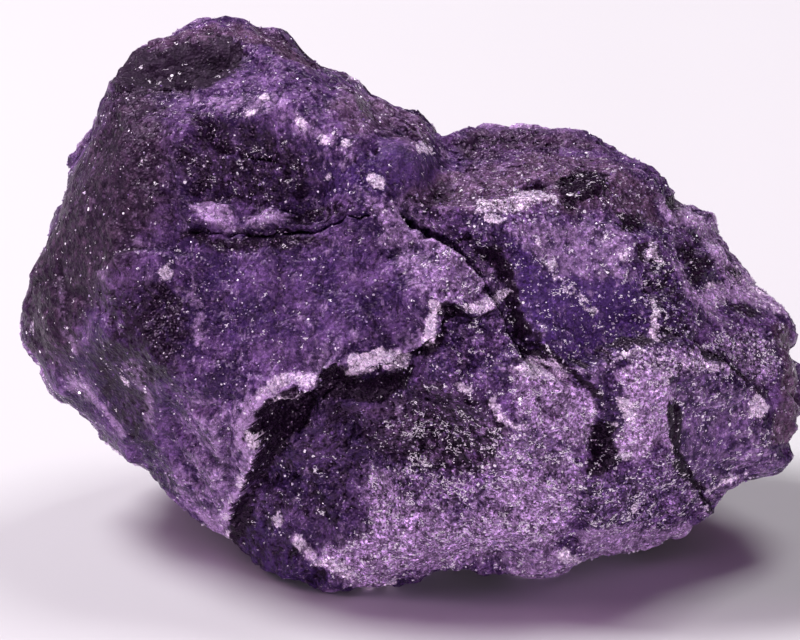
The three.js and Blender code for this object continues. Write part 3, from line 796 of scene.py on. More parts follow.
        (7.6, 4.2), (6.4, 4.6), (5.4, 5.4), (5.1, 6.6),
    ), {LILAC: 0.75, GLITTER: 0.6, FROST: 0.1}, edge=0.15),
    Zone("crust on the front lump", (
        (5.2, 7.8), (6.8, 7.9), (7.7, 7.4), (7.2, 6.9), (5.9, 7),
    ), {FROST: 0.85}, edge=0.2),
    Streak("crust left of the lump", ((4.2, 6.2), (4.9, 5.3), (5.5, 4.8)), 0.35, {FROST: 0.5, LILAC: 0.4}),
    Zone("tongue", (
        (9.7, 7.5), (11, 7.6), (12.6, 7.4), (12.8, 6.6), (12.5, 5.6), (12.5, 4.2), (11.6, 3.8),
        (10.8, 3.2), (10, 3.6), (9.9, 4.6), (10.2, 5.2), (10.1, 6.2),
    ), {LILAC: 1, GLITTER: 0.5, FROST: 0.15}, edge=0.12),
    Zone("crust on the tongue", (
        (9.4, 6.5), (10.1, 6.4), (10.8, 5.4), (10.4, 5.2), (9.8, 6),
    ), {FROST: 0.9}, edge=0.12),
    # painted shade in the pit
    Zone("pit", (
        (8.4, 5.2), (9, 5.6), (9.7, 5.2), (9.9, 4.4), (10, 3.4), (9, 2.4), (8.4, 2.6), (8.4, 4),
    ), {DARK: 1}, edge=0.15),
    Zone("lower right of the front", (
        (8.6, 2.4), (10, 2.8), (12, 3.6), (12.9, 3.6), (13.6, 2.4), (14, 1.4), (13.6, 0), (11, 0),
        (8.6, 0), (8.3, 1),
    ), {BLUE: 0.2, LILAC: 0.25, GLITTER: 0.9}, edge=0.4),
    Zone("lower rim of the front", (
        (8.2, -0.2), (10, 0), (13.6, 0), (14.6, -0.4), (13, -2), (10, -2.4), (8.2, -2.6),
    ), {LILAC: 0.8}, edge=0.3),
    Zone("middle of the front", (
        (5.2, 4.8), (8, 4), (8.4, 2), (8, 0.4), (5.8, 2), (4.6, 2.8), (5, 4),
    ), {GLITTER: 0.6, LILAC: 0.5}, edge=0.4),
    Zone("right foot", (
        (4.4, -1.8), (7.2, -1.2), (8.1, -1.4), (8, -3), (5.6, -3.4),
    ), {LILAC: 0.7}, edge=0.3),
    Zone("smooth facet", (
        (12.9, 6.4), (13.2, 7), (15.8, 6.8), (17.2, 5.4), (17.9, 4), (18.4, 2.4), (17, 1), (14.5, 0),
        (14.2, 1.2), (13.8, 2.2), (12.9, 3.6), (12.6, 4.6),
    ), {BLUE: 0.35, LILAC: 0.35, GLITTER: 0.2}, edge=0.15),
    Streak("shade left of the facet", (
        (12.8, 6), (12.75, 4.4), (13.2, 3.2), (14.1, 1.7),
    ), 0.35, {DARK: 0.85}),
    Zone("crust on the right facet", (
        (16.3, 6), (17, 6.6), (17.8, 6), (17.4, 5.2), (16.4, 5.1),
    ), {FROST: 0.85}, edge=0.15),
    Streak("line of the facet", ((14.4, 1.6), (15.4, 1.9), (16.6, 2.1)), 0.12, {FROST: 0.9}),
    Streak("right rim", ((18.4, 9.4), (18.9, 7.6), (19, 6.4), (18.4, 4.4)), 0.7, {BROWN: 0.85}),
    Zone("grainy right end", (
        (13.9, 8.2), (14.8, 9.6), (16.4, 9.4), (17.8, 9), (18, 7.4), (17.2, 6.6), (16.6, 7), (14.2, 7.3),
    ), {GLITTER: 1, LILAC: 0.5, FROST: 0.2}, edge=0.3),
    # lilac tops of the knobs: their pale ground, and partly painted light on the tops
    Zone("top knob", (
        (12.4, 16.3), (13.6, 16), (14, 15.1), (13.7, 14.4), (13, 14.6), (12.6, 15.2),
    ), {LILAC: 1, FROST: 0.2}, edge=0.2),
    Zone("fourth knob", (
        (14, 11.4), (15.5, 11.6), (17, 12.2), (18.4, 11.4), (19, 10.4), (17, 10.7), (15.5, 10.7),
        (14.6, 10.2),
    ), {LILAC: 0.9, FROST: 0.15}, edge=0.3),
    Streak("edge right of the block", ((13.2, 12.6), (14, 11.1), (15.2, 10)), 0.4, {LILAC: 0.5}),
    # painted shade between, under and behind the knobs of the shoulder
    Spot("dark above the strip", (14.2, 12.8), (0.8, 1.1), 20, {DARK: 0.8}),
    Spot("dark between the knobs", (15.9, 12.4), (1.1, 0.7), -30, {DARK: 0.6}),
    Spot("dark under the fourth knob", (16.6, 10.3), (1.5, 0.45), -5, {DARK: 0.7}),
    Spot("dark behind the second knob", (13.8, 13.5), (0.5, 0.7), 0, {DARK: 0.4}),
    Spot("first bead", (-7.9, 19.9), (0.5, 0.35), 10, {FROST: 0.9}),
    Spot("second bead", (-7.2, 20.6), (0.35, 0.35), 0, {FROST: 0.85}),
    Spot("third bead", (-5.5, 19.7), (0.4, 0.4), 0, {FROST: 0.95}),
    Spot("fourth bead", (-4.4, 18.8), (0.45, 0.4), 0, {FROST: 0.9}),
    Spot("fifth bead", (-3.1, 18.6), (0.7, 0.3), -35, {FROST: 0.85}),
    Spot("bead by the boss", (-1.3, 16.6), (0.5, 0.6), 0, {FROST: 1}),
    Spot("bead over the seam", (-3.9, 16.7), (0.35, 0.55), 0, {FROST: 0.6}),
    Spot("bead of the ridge", (0.7, 18.5), (0.4, 0.4), 0, {FROST: 0.9}),
    Spot("bead under the ridge", (1.7, 18.4), (0.45, 0.4), 0, {LILAC: 0.9}),
    Spot("first fleck of the flank", (-13, 17.9), (0.4, 0.35), 0, {FROST: 0.4, LILAC: 0.6}),
    Spot("second fleck of the flank", (-14.8, 12.3), (0.8, 0.5), 10, {LILAC: 0.8}),
    Spot("third fleck of the flank", (-12.8, 13.7), (0.6, 0.4), 0, {LILAC: 0.8}),
    Spot("fourth fleck of the flank", (-15.9, 15.3), (0.35, 0.6), 0, {LILAC: 0.7}),
    Spot("white spot of the plate", (-11.6, 12.1), (0.65, 0.45), -40, {FROST: 1}),
    Streak("flecks of the plate", ((-10.7, 11), (-10.3, 10.2), (-10.5, 8.9)), 0.35, {LILAC: 0.5}),
    Spot("short spot of the left end", (-13.9, 7.3), (0.3, 0.55), 10, {FROST: 1}),
    Streak("vein of the left end", ((-13.6, 7.9), (-12.9, 7), (-12.8, 5.4)), 0.35, {LILAC: 0.8}),
    Spot("long spot of the left end", (-16.6, 7), (0.5, 1), 25, {FROST: 0.25, LILAC: 0.5}),
    Streak("edge of the left end", ((-16.4, 6.6), (-15.4, 5.4), (-14.2, 4.3)), 0.35, {LILAC: 0.7}),
    Streak("left edge", ((-17.1, 11.6), (-17.3, 10), (-16.8, 8.6)), 0.35, {LILAC: 0.75}),
    Spot("nose", (-18.7, 9.8), (0.5, 0.7), 0, {FROST: 0.4, LILAC: 0.7}),
    Streak("left of the lip", ((-7.4, 6.3), (-6, 7), (-4.9, 7.2)), 0.45, {FROST: 0.5, LILAC: 0.9}),
    Streak("middle of the lip", ((-3, 7.9), (-1.8, 8.2), (-0.6, 8.1)), 0.5, {FROST: 0.9}),
    Streak("right of the lip", ((0.7, 8.9), (1, 9.8), (1.3, 10.8)), 0.4, {FROST: 0.9}),
    Streak("corner of the lip", ((3, 10.4), (3.8, 10.6), (4.4, 11)), 0.35, {FROST: 0.7}),
    Spot("crust right of the hollow", (2.9, 6.9), (0.7, 0.5), -20, {FROST: 0.9}),
    Spot("fleck of the hollow", (-0.6, 5.5), (0.35, 0.45), 0, {LILAC: 0.9}),
    Spot("fleck of the floor", (-4.7, 2.8), (0.4, 0.25), 0, {LILAC: 0.8}),
    Spot("upper fleck of the panel", (6.3, 13.9), (0.25, 0.3), 0, {FROST: 0.9}),
    Spot("lower fleck of the panel", (6.9, 12.9), (0.5, 0.3), 0, {FROST: 0.6, GLITTER: 1}),
    Streak("trail over the panel", (
        (6.6, 13), (7.4, 12), (8.3, 11.2), (9, 10.3),
    ), 0.3, {GLITTER: 1, FROST: 0.35}),
    Streak("second trail", ((10, 12.4), (11, 11.9), (11.8, 11)), 0.35, {GLITTER: 0.9, LILAC: 0.3}),
    Spot("pale of the panel's corner", (10.4, 13.2), (0.6, 0.9), 30, {FROST: 0.45}),
    Spot("crust over the tongue", (12.4, 7.2), (0.4, 0.25), 0, {FROST: 0.9}),
    Spot("crust under the tongue", (10.3, 3.6), (0.5, 0.3), -20, {FROST: 0.8}),
    Spot("crust in the pit", (9.6, 5.2), (0.3, 0.3), 0, {FROST: 0.8}),
    Spot("bead of the lower front", (10.9, 1.1), (0.35, 0.4), 0, {FROST: 0.8}),
    Spot("fleck of the first knob", (13.3, 14.8), (0.35, 0.3), 0, {FROST: 0.5}),
    Spot("fleck of the third knob", (14.9, 11.6), (0.5, 0.4), 0, {FROST: 0.5}),
    Spot("crust of the right foot", (7.6, -1.5), (0.6, 0.5), 20, {FROST: 0.8}),
    Spot("first bead of the left foot", (-6.4, -0.1), (0.4, 0.3), -20, {FROST: 0.9}),
    Spot("second bead of the left foot", (-5.4, -0.6), (0.35, 0.45), 0, {FROST: 0.9}),
    Streak("rim of the left foot", ((-2.2, -3), (-0.6, -3.1)), 0.14, {FROST: 0.7}),
)

# dark is the painted shade at the foot of each cliff, under its brow
RIMS = (
    Rim("hollow under the broad plate", frost=0.4, lilac=1.7, dark=1.1, strength=1),
    Rim("step at the plate's corner", frost=0.35, lilac=1.0, dark=0.35, strength=0.9),
    Rim("sunk field above the seam", frost=0, lilac=0.3, dark=0.6, strength=0.4),
    Rim("dark scoop under the peak", frost=0, lilac=0.3, dark=0.9, strength=0.9),
    Rim("foot of the smooth panel", frost=0.3, lilac=0.6, dark=0.45, strength=0.8),
    Rim("flank right of the block", frost=0, lilac=0.4, dark=1.2, strength=0.8),
    Rim("smooth facet right of the tongue", frost=0.22, lilac=0.7, dark=0.5, strength=0.8),
)


SCATTERS = {
    LILAC: Scatter(0.25, broad=0.7, middle=0.4, fine=0.25),
    DARK: Scatter(0.15, broad=-0.8, middle=-0.4),
    BLUE: Scatter(0.1, other=0.9, most=0.8),
    BROWN: Scatter(-0.15, middle=0.3, other=-0.9, most=0.7),
    GLITTER: Scatter(0.35, middle=-0.8, most=0.8),
}


@dataclass
class StoneForm:
    """The stone's broken form, read along straight rays from a core point inside it."""

    core_height: float = 11.86
    front_depth: float = 11
    back_depth: float = 11.4
    fullness: float = 2.5
    shelf_height: float = 19.35
    shelf_edge: tuple = ((1.9, 18.8), (0.4, 15.4))
    slope_rise: float = 1.5
    valley_rounding: float = 0.8
    outline_reach: float = 4.5
    outline_ease: float = math.radians(9)
    ease_samples: int = 9
    face_rounding: float = 0.22
    least_facing: float = 0.05
    front_edge: tuple[float, float] = (-1.5, 1)
    back_edge: tuple[float, float] = (-1, 2.5)
    back_end: tuple[float, float] = (1, -2)
    swell: Layer = Layer(5.2, 0.38, 21)
    chips: Layer = Layer(2.9, 0.28, 31)
    sharpness: float = 18
    fine_chips: tuple = (Layer(1.25, 0.13, 41), Layer(0.6, 0.18, 51), Layer(0.3, 0.22, 61))
    fine_sharpness: float = 36
    warps: tuple = (Layer(1.6, 0.22, 11), Layer(0.6, 0.17, 13), Layer(0.28, 0.09, 15))

    def __post_init__(self) -> None:
        """Works out the core's place on the drawing plane and the outline round it."""
        self.core = np.array([0.0, self.core_height * math.cos(LEAN)])
        self.core_lift = self.core_height * math.sin(LEAN)
        away = np.array(OUTLINE) - self.core
        angles = np.arctan2(away[:, 1], away[:, 0])
        order = np.argsort(angles)
        self.outline_angles = angles[order]
        self.outline_reaches = np.hypot(away[:, 0], away[:, 1])[order]

    def to_stone(self, at: Points) -> Points:
        """Turns places of the drawing into places of the stone.

        Args:
            at: points as [u, v, q] round the core.

        Returns:
            The points as [x, y, z] round the origin.
        """
        up = at[:, 1] + self.core[1]
        out = at[:, 2] + self.core_lift
        deep = up * math.sin(LEAN) - out * math.cos(LEAN)
        high = up * math.cos(LEAN) + out * math.sin(LEAN)
        return np.stack([at[:, 0], deep, high], axis=1)

    def outline_at(self, angle: Numbers) -> Numbers:
        """Reads the outline's distance from the core in each direction of the drawing plane."""
        turned = (angle + math.pi) % (2 * math.pi) - math.pi
        return np.interp(turned, self.outline_angles, self.outline_reaches, period=2 * math.pi)

    def eased_outline_at(self, angle: Numbers) -> Numbers:
        """Reads the outline averaged over a stretch to each side."""
        shifts = self.outline_ease * np.linspace(-1, 1, self.ease_samples)
        return np.mean([self.outline_at(angle + shift) for shift in shifts], axis=0)

    def body_reach(self, rays: Points) -> Numbers:
        """Reads how far the rounded body reaches.

        Args:
            rays: directions as [u, v, q].

        Returns:
            Distances from the core.
        """
        flat = np.hypot(rays[:, 0], rays[:, 1])
        angle = np.arctan2(rays[:, 1], rays[:, 0])
        depth = np.where(rays[:, 2] > 0, self.front_depth, self.back_depth)

        def reach_for(outline: Numbers) -> Numbers:
            """Rounds the body off towards the front and the back."""
            total = (flat / outline) ** self.fullness + (np.abs(rays[:, 2]) / depth) ** self.fullness
            return total ** (-1 / self.fullness)

        eased = reach_for(self.eased_outline_at(angle))
        detail = np.exp(-(((eased * rays[:, 2]) / self.outline_reach) ** 2))
        return eased * (1 - detail) + reach_for(self.outline_at(angle)) * detail

    def shelf_reach(self, rays: Points, at: Points) -> Numbers:
        """Reads how far the flat shelf, and the slope beside it, let the rays reach.

        Args:
            rays: directions as [u, v, q].
            at: where they would leave the body, as [u, v, q] round the core.

        Returns:
            Distances from the core, endless for rays that don't rise.
        """
        rise = rays[:, 1] * math.cos(LEAN) + rays[:, 2] * math.sin(LEAN)
        (au, av), (bu, bv) = self.shelf_edge
        across = (at[:, 0] - au) * (bv - av) - (at[:, 1] + self.core[1] - av) * (bu - au)
        side = across / math.hypot(bu - au, bv - av)
        climb = self.slope_rise * (side + np.hypot(side, self.valley_rounding)) / 2
        open_rise = np.where(rise > 0, rise, 1)
        reach = (self.shelf_height + climb - self.core_height) / open_rise
        return np.where(rise > 0, reach, np.inf)

    def broken_reach(self, rays: Points) -> Numbers:
        """Reads how far the body reaches once its fracture faces are broken off.

        Args:
            rays: directions as [u, v, q].

        Returns:
            Distances from the core.
        """
        body = self.body_reach(rays)
        limits = [body]
        for face in FACES:
            normal = np.array(face.toward, float)
            normal /= np.linalg.norm(normal)
            facing = rays @ normal
            distance = np.max(body * facing) - face.bite
            open_facing = np.maximum(facing, self.least_facing)
            limits.append(np.where(facing > self.least_facing, distance / open_facing, np.inf))
        stacked = np.array(limits)
        least = stacked.min(axis=0)
        soft = np.exp((least - stacked) / self.face_rounding).sum(axis=0)
        reach = least - self.face_rounding * np.log(soft)
        return np.minimum(reach, self.shelf_reach(rays, rays * reach[:, None]))

    def drawn(self, at: Points) -> tuple[dict, dict]:
        """Finds where points of the broken body lie on the two drawings.

        Args:
            at: points as [u, v, q] round the core.

        Returns:
            The places on each side's drawing, and each side's share of the say there.
        """
        stone = self.to_stone(at)
        wander = np.zeros((len(at), 2))
        for warp in self.warps:
            for axis in range(2):
                wander[:, axis] += warp.noise(stone, axis)
        front = at[:, :2] + [0, self.core[1]] + wander
        places = {Side.FRONT: front, Side.BACK: stone[:, [0, 2]] + wander}
        shares = {
            Side.FRONT: ramp(*self.front_edge, at[:, 2]),
            Side.BACK: ramp(*self.back_edge, stone[:, 1]) * ramp(*self.back_end, at[:, 2]),
        }
        return places, shares

    def relief(self, at: Points, places: dict, shares: dict) -> Numbers:
        """Reads what the drawn features and the uneven ground add.

        Args:
            at: points of the broken body as [u, v, q] round the core.
            places: where they lie on each side's drawing.
            shares: each side's share of the say there.

        Returns:
            Heights along the rays.
        """
        stone = self.to_stone(at)
        height = np.zeros(len(at))
        for feature in (*AREAS, *CRACKS, *KNOBS):
            height += shares[feature.side] * feature.height(places[feature.side])
        uneven = np.ones(len(at))
        fine = np.ones(len(at))
        for calm in CALM_GROUND:
            inside = shares[Side.FRONT] * calm.share(places[Side.FRONT])
            uneven = np.minimum(uneven, 1 - (1 - calm.keep) * inside)
            fine = np.minimum(fine, 1 - (1 - calm.fine_keep) * inside)
        height += uneven * (self.swell.noise(stone) + self.chips.chips(stone, self.sharpness))
        for chips in self.fine_chips:
            height += fine * chips.chips(stone, self.fine_sharpness)
        for fibres in FIBRES:
            height += shares[Side.FRONT] * fibres.height(places[Side.FRONT])
        return height

    def surface(self, rays: Points) -> Surface:
        """Finds the stone's surface, brought up to the ground where it would be below.

        Args:
            rays: directions as [u, v, q].

        Returns:
            The surface.
        """
        reach = self.broken_reach(rays)
        broken = rays * reach[:, None]
        places, shares = self.drawn(broken)
        reach = reach + self.relief(broken, places, shares)
        place = self.to_stone(rays * reach[:, None])
        below = place[:, 2] < 0
        share = self.core_height / (self.core_height - place[below, 2])
        place[below] = np.stack([place[below, 0] * share, place[below, 1] * share, 0 * share], axis=1)
        return Surface(place, places[Side.FRONT], shares[Side.FRONT])

    def on_drawing(self, place: Points) -> Points:
        """Gives the places of surface points on the display side's drawing."""
        up = place[:, 1] * math.sin(LEAN) + place[:, 2] * math.cos(LEAN)
        return np.stack([place[:, 0], up], axis=1)

    def outward(self, place: Points) -> Numbers:
        """Gives how far surface points stand out of the drawing plane from the core."""
        return place[:, 2] * math.sin(LEAN) - place[:, 1] * math.cos(LEAN) - self.core_lift


@dataclass
class Net:
    """A ball of evenly cut triangles, drawn out along the stone and denser on its display side."""

    steps: int = 99
    stretch: tuple[float, float, float] = (1.5, 1.05, 1)
    pull: float = 0.3

    def corners(self) -> Points:
        """Gives the twelve corners of an icosahedron."""
        t = (1 + math.sqrt(5)) / 2
        return np.array([
            [-1, t, 0], [1, t, 0], [-1, -t, 0], [1, -t, 0], [0, -1, t], [0, 1, t],
            [0, -1, -t], [0, 1, -t], [t, 0, -1], [t, 0, 1], [-t, 0, -1], [-t, 0, 1],
        ])

    def sides(self) -> tuple:
        """Gives the twenty sides of an icosahedron, by their corners."""
        return (
            (0, 11, 5), (0, 5, 1), (0, 1, 7), (0, 7, 10), (0, 10, 11), (1, 5, 9), (5, 11, 4),
            (11, 10, 2), (10, 7, 6), (7, 1, 8), (3, 9, 4), (3, 4, 2), (3, 2, 6), (3, 6, 8),
            (3, 8, 9), (4, 9, 5), (2, 4, 11), (6, 2, 10), (8, 6, 7), (9, 8, 1),
        )

    def cut_side(self, a: Numbers, b: Numbers, c: Numbers) -> tuple[Points, Faces]:
        """Cuts one side into small triangles.

        Args:
            a: the side's first corner.
            b: its second corner.
            c: its third corner.

        Returns:
            The points, and the triangles by their points.
        """
        steps = self.steps
        rows = [(i, j) for i in range(steps + 1) for j in range(steps + 1 - i)]
        number = {cell: n for n, cell in enumerate(rows)}
        grid = np.array(rows, float)
        points = np.outer(steps - grid.sum(axis=1), a) + np.outer(grid[:, 0], b) + np.outer(grid[:, 1], c)
        triangles = []
        for i, j in rows:
            if i + j < steps:
                triangles.append((number[i, j], number[i + 1, j], number[i, j + 1]))
            if i + j < steps - 1:
                triangles.append((number[i + 1, j], number[i + 1, j + 1], number[i, j + 1]))
        return points / steps, np.array(triangles)

    def build(self) -> tuple[Points, Faces]:
        """Builds the net.

        Returns:
            Directions as [u, v, q], and triangles by their points.
        """
        corners = self.corners()
        all_points, all_triangles, count = [], [], 0
        for a, b, c in self.sides():
            points, triangles = self.cut_side(corners[a], corners[b], corners[c])
            all_points.append(points)
            all_triangles.append(triangles + count)
            count += len(points)
        points = np.concatenate(all_points)
        _, first, back = np.unique(np.round(points, 6), axis=0, return_index=True, return_inverse=True)
        rays = points[first]
        rays /= np.linalg.norm(rays, axis=1, keepdims=True)
        rays *= self.stretch
        rays /= np.linalg.norm(rays, axis=1, keepdims=True)
        rays[:, 2] += self.pull
        rays /= np.linalg.norm(rays, axis=1, keepdims=True)
        return rays, back.reshape(-1)[np.concatenate(all_triangles)]


@dataclass
class ToneChart:
    """Where each tone lies: drawn on the display side, and scattered in the same manner elsewhere."""

    form: StoneForm
    wander: tuple = (Layer(2.2, 0.45, 81), Layer(0.7, 0.22, 83), Layer(0.28, 0.1, 85))
    broad: Layer = Layer(6.5, 1, 91)
    middle: Layer = Layer(2.4, 1, 92)
    fine: Layer = Layer(0.9, 1, 93)
    other: Layer = Layer(4.5, 1, 94)
    drawing_end: Layer = Layer(1.5, 1, 95)
    drawing_edge: tuple[float, float] = (-2, 1.5)
    crumbling: tuple = (Layer(2.6, 0.3, 97), Layer(0.9, 0.35, 96))
    frost_edge: tuple[float, float] = (0.42, 0.7)
    calm_edge: tuple[float, float] = (0.1, 0.5)
    frost_run: float = 1.6
    frost_gaps: tuple[float, float] = (0.45, 0.8)
    lilac_start: float = 0.1
    lilac_least: float = 0.2
    lilac_patches: float = 0.6
    # painted shade at the foot of each rim's cliff
    cliff_shade_start: float = 0.4
    cliff_shade_least: float = 0.3
    cliff_shade_gaps: tuple[float, float] = (0.3, 0.65)
    # painted shade in hollows, where the surface dips below its neighbours
    hollow_painted_shade: float = 0.35
    ridge_lilac: float = 0.3

    def wandered(self, place: Points) -> Points:
        """Shifts points a little, so that the patches get ragged edges.

        Args:
            place: points as [x, y, z].

        Returns:
            Places on the display side's drawing.
        """
        at = self.form.on_drawing(place)
        for layer in self.wander:
            at = at + np.stack([layer.noise(place, axis) for axis in range(2)], axis=1)
        return at

    def scattered(self, place: Points, bulge: Numbers) -> dict:
        """Scatters the tones over the sides that the drawing doesn't reach.

        Args:
            place: points as [x, y, z].
            bulge: above zero on ridges, below in hollows.

        Returns:
            Strengths for each tone.
        """
        broad, middle = self.broad.noise(place), self.middle.noise(place)
        fine, other = self.fine.noise(place), self.other.noise(place)
        result = {}
        for tone, scatter in SCATTERS.items():
            follows = scatter.broad * broad + scatter.middle * middle + scatter.fine * fine
            result[tone] = np.clip(scatter.start + follows + scatter.other * other, 0, scatter.most)
        result[FROST] = ramp(*self.frost_edge, 0.6 * middle + 0.5 * fine + 0.25 * bulge)
        result[CALM] = ramp(*self.calm_edge, broad - other)
        return result

    def add_rims(self, result: dict, surface: Surface) -> None:
        """Lays frost and lilac on the brow of each rim, and painted shade at the foot of its cliff.

        Args:
            result: the tones' strengths so far, which this changes.
            surface: the stone's surface.
        """
        broken = 0.5 + sum(layer.noise(surface.place) for layer in self.crumbling)
        areas = {area.name: area for area in AREAS}
        for rim in RIMS:
            area = areas[rim.area]
            inside = is_inside(surface.drawn, area.wall + area.open_edge)
            away = distance_to_line(surface.drawn, area.wall)
            brow = surface.front * rim.strength * ~inside
            foot = surface.front * rim.strength * inside
            if rim.frost:
                frost = brow * (1 - ramp(0, self.frost_run * rim.frost, away))
                result[FROST] = np.maximum(result[FROST], frost * ramp(*self.frost_gaps, broken))
            lilac = brow * (1 - ramp(self.lilac_start * rim.lilac, rim.lilac, away))
            lilac = lilac * (self.lilac_least + self.lilac_patches * broken)
            result[LILAC] = np.maximum(result[LILAC], lilac)
            # painted shade at the foot of the cliff, under the brow; pale tones give way to it
            dark = foot * (1 - ramp(self.cliff_shade_start * rim.dark, rim.dark, away))
            dark = dark * (self.cliff_shade_least + (1 - self.cliff_shade_least) * ramp(*self.cliff_shade_gaps, broken))
            result[DARK] = np.maximum(result[DARK], dark)
            for pale in (FROST, LILAC, GLITTER):
                result[pale] = result[pale] * (1 - dark)

    def strengths(self, surface: Surface, bulge: Numbers) -> dict:
        """Reads every tone's strength.

        Args:
            surface: the stone's surface.
            bulge: above zero on ridges, below in hollows.

        Returns:
            Strengths from 0 to 1 for each tone.
        """
        place = surface.place
        at = self.wandered(place)
        front = ramp(*self.drawing_edge, self.form.outward(place) + self.drawing_end.noise(place))
        elsewhere = self.scattered(place, bulge)
        drawn = {tone: np.zeros(len(place)) for tone in Tone}
        for mark in MARKS:
            share = mark.share(at)
            for tone, strength in mark.tones.items():
                drawn[tone] = 1 - (1 - drawn[tone]) * (1 - strength * share)
        result = {}
        for tone in Tone:
            result[tone] = front * drawn[tone] + (1 - front) * elsewhere[tone]
        for calm in CALM_GROUND:
            share = surface.front * calm.share(surface.drawn) * (1 - calm.fine_keep)
            result[CALM] = np.maximum(result[CALM], share)
        self.add_rims(result, surface)
        # painted shade in hollows; ridges get more lilac
        result[DARK] = np.clip(result[DARK] + self.hollow_painted_shade * np.clip(-bulge, 0, 1), 0, 1)
        result[LILAC] = np.clip(result[LILAC] + self.ridge_lilac * np.clip(bulge, 0, 1), 0, 1)
        return result


class NodeGraph:
    """A material's nodes, with short ways to add them and join them."""

    def __init__(self, name: str) -> None:
        """Starts a material with its shader.

        Args:
            name: the material's name.
        """
        self.material = bpy.data.materials.new(name)
        self.material.use_nodes = True
        self.tree = self.material.node_tree
        self.shader = self.tree.nodes["Principled BSDF"]
        self.place = self.add("ShaderNodeTexCoord").outputs["Object"]

    def put(self, socket: Socket, value: object) -> None:
        """Sets a socket, or joins another node's socket to it."""
        if isinstance(value, Socket):
            self.tree.links.new(value, socket)
        else:
            socket.default_value = value

    def add(self, kind: str, inputs: dict | None = None, **settings: object) -> bpy.types.Node:
        """Adds a node.

        Args:
            kind: the node's type.
            inputs: values or sockets for its inputs, by name or number.
            settings: its own settings.

        Returns:
            The node.
        """
        node = self.tree.nodes.new(kind)
        for name, value in settings.items():
            setattr(node, name, value)
        for name, value in (inputs or {}).items():
            self.put(node.inputs[name], value)
        return node

    def maths(self, operation: str, a: object, b: object = 0.0, clamp: bool = False) -> Socket:
        """Works a sum on one or two values."""
        return self.add("ShaderNodeMath", {0: a, 1: b}, operation=operation, use_clamp=clamp).outputs[0]

    def plus(self, a: object, b: object, clamp: bool = False) -> Socket:
        """Adds two values."""
        return self.maths("ADD", a, b, clamp)

    def minus(self, a: object, b: object) -> Socket:
        """Takes the second value from the first."""
        return self.maths("SUBTRACT", a, b)

    def times(self, a: object, b: object) -> Socket:
        """Multiplies two values."""
        return self.maths("MULTIPLY", a, b)

    def between(self, value: object, low: float, high: float) -> Socket:
        """Climbs softly from 0 at low to 1 at high."""
        inputs = {"Value": value, "From Min": low, "From Max": high}
        return self.add("ShaderNodeMapRange", inputs, interpolation_type="SMOOTHSTEP").outputs[0]

    def blend(self, share: object, first: object, second: object, kind: str = "MIX") -> Socket:
        """Mixes two colours."""
        node = self.add("ShaderNodeMix", {0: share, 6: first, 7: second}, data_type="RGBA", blend_type=kind)
        return node.outputs[2]

    def vector(self, operation: str, a: object, b: object = None) -> Socket:
        """Works a sum on one or two directions or places.

        Args:
            operation: the sum.
            a: the first value.
            b: the second value, or the factor of a scaling.

        Returns:
            The result.
        """
        inputs = {0: a}
        if b is not None:
            inputs["Scale" if operation == "SCALE" else 1] = b
        return self.add("ShaderNodeVectorMath", inputs, operation=operation).outputs[0]

    def noise(self, size: float, detail: float = 3.0, squeeze: tuple | None = None) -> Socket:
        """Makes soft noise.

        Args:
            size: of its lumps in millimetres.
            detail: how many finer noises are added.
            squeeze: factors for the three directions; less than 1 draws the lumps out.

        Returns:
            The noise, round 0.5.
        """
        at = self.vector("MULTIPLY", self.place, squeeze) if squeeze else self.place
        inputs = {"Vector": at, "Scale": 1 / (size * MILLIMETRE), "Detail": detail, "Roughness": 0.62}
        return self.add("ShaderNodeTexNoise", inputs).outputs[0]

    def grains(self, size: float) -> bpy.types.Node:
        """Makes a packing of grains of the given size in millimetres."""
        return self.add("ShaderNodeTexVoronoi", {"Vector": self.place, "Scale": 1 / (size * MILLIMETRE)})

    def channels(self, colour: Socket) -> list:
        """Splits a colour into its three values."""
        return list(self.add("ShaderNodeSeparateColor", {0: colour}).outputs)

    def attribute(self, name: str) -> Socket:
        """Reads a value that the mesh carries."""
        return self.add("ShaderNodeAttribute", attribute_name=name).outputs["Fac"]


def paint(red: int, green: int, blue: int) -> Colour:
    """Turns a colour as a screen shows it into the light that a material reflects.

    Args:
        red: from 0 to 255.
        green: from 0 to 255.
        blue: from 0 to 255.

    Returns:
        The colour with full cover.
    """
    parts = []
    for part in (red, green, blue):
        share = part / 255
        parts.append(share / 12.92 if share <= 0.04045 else ((share + 0.055) / 1.055) ** 2.4)
    return (*parts, 1.0)


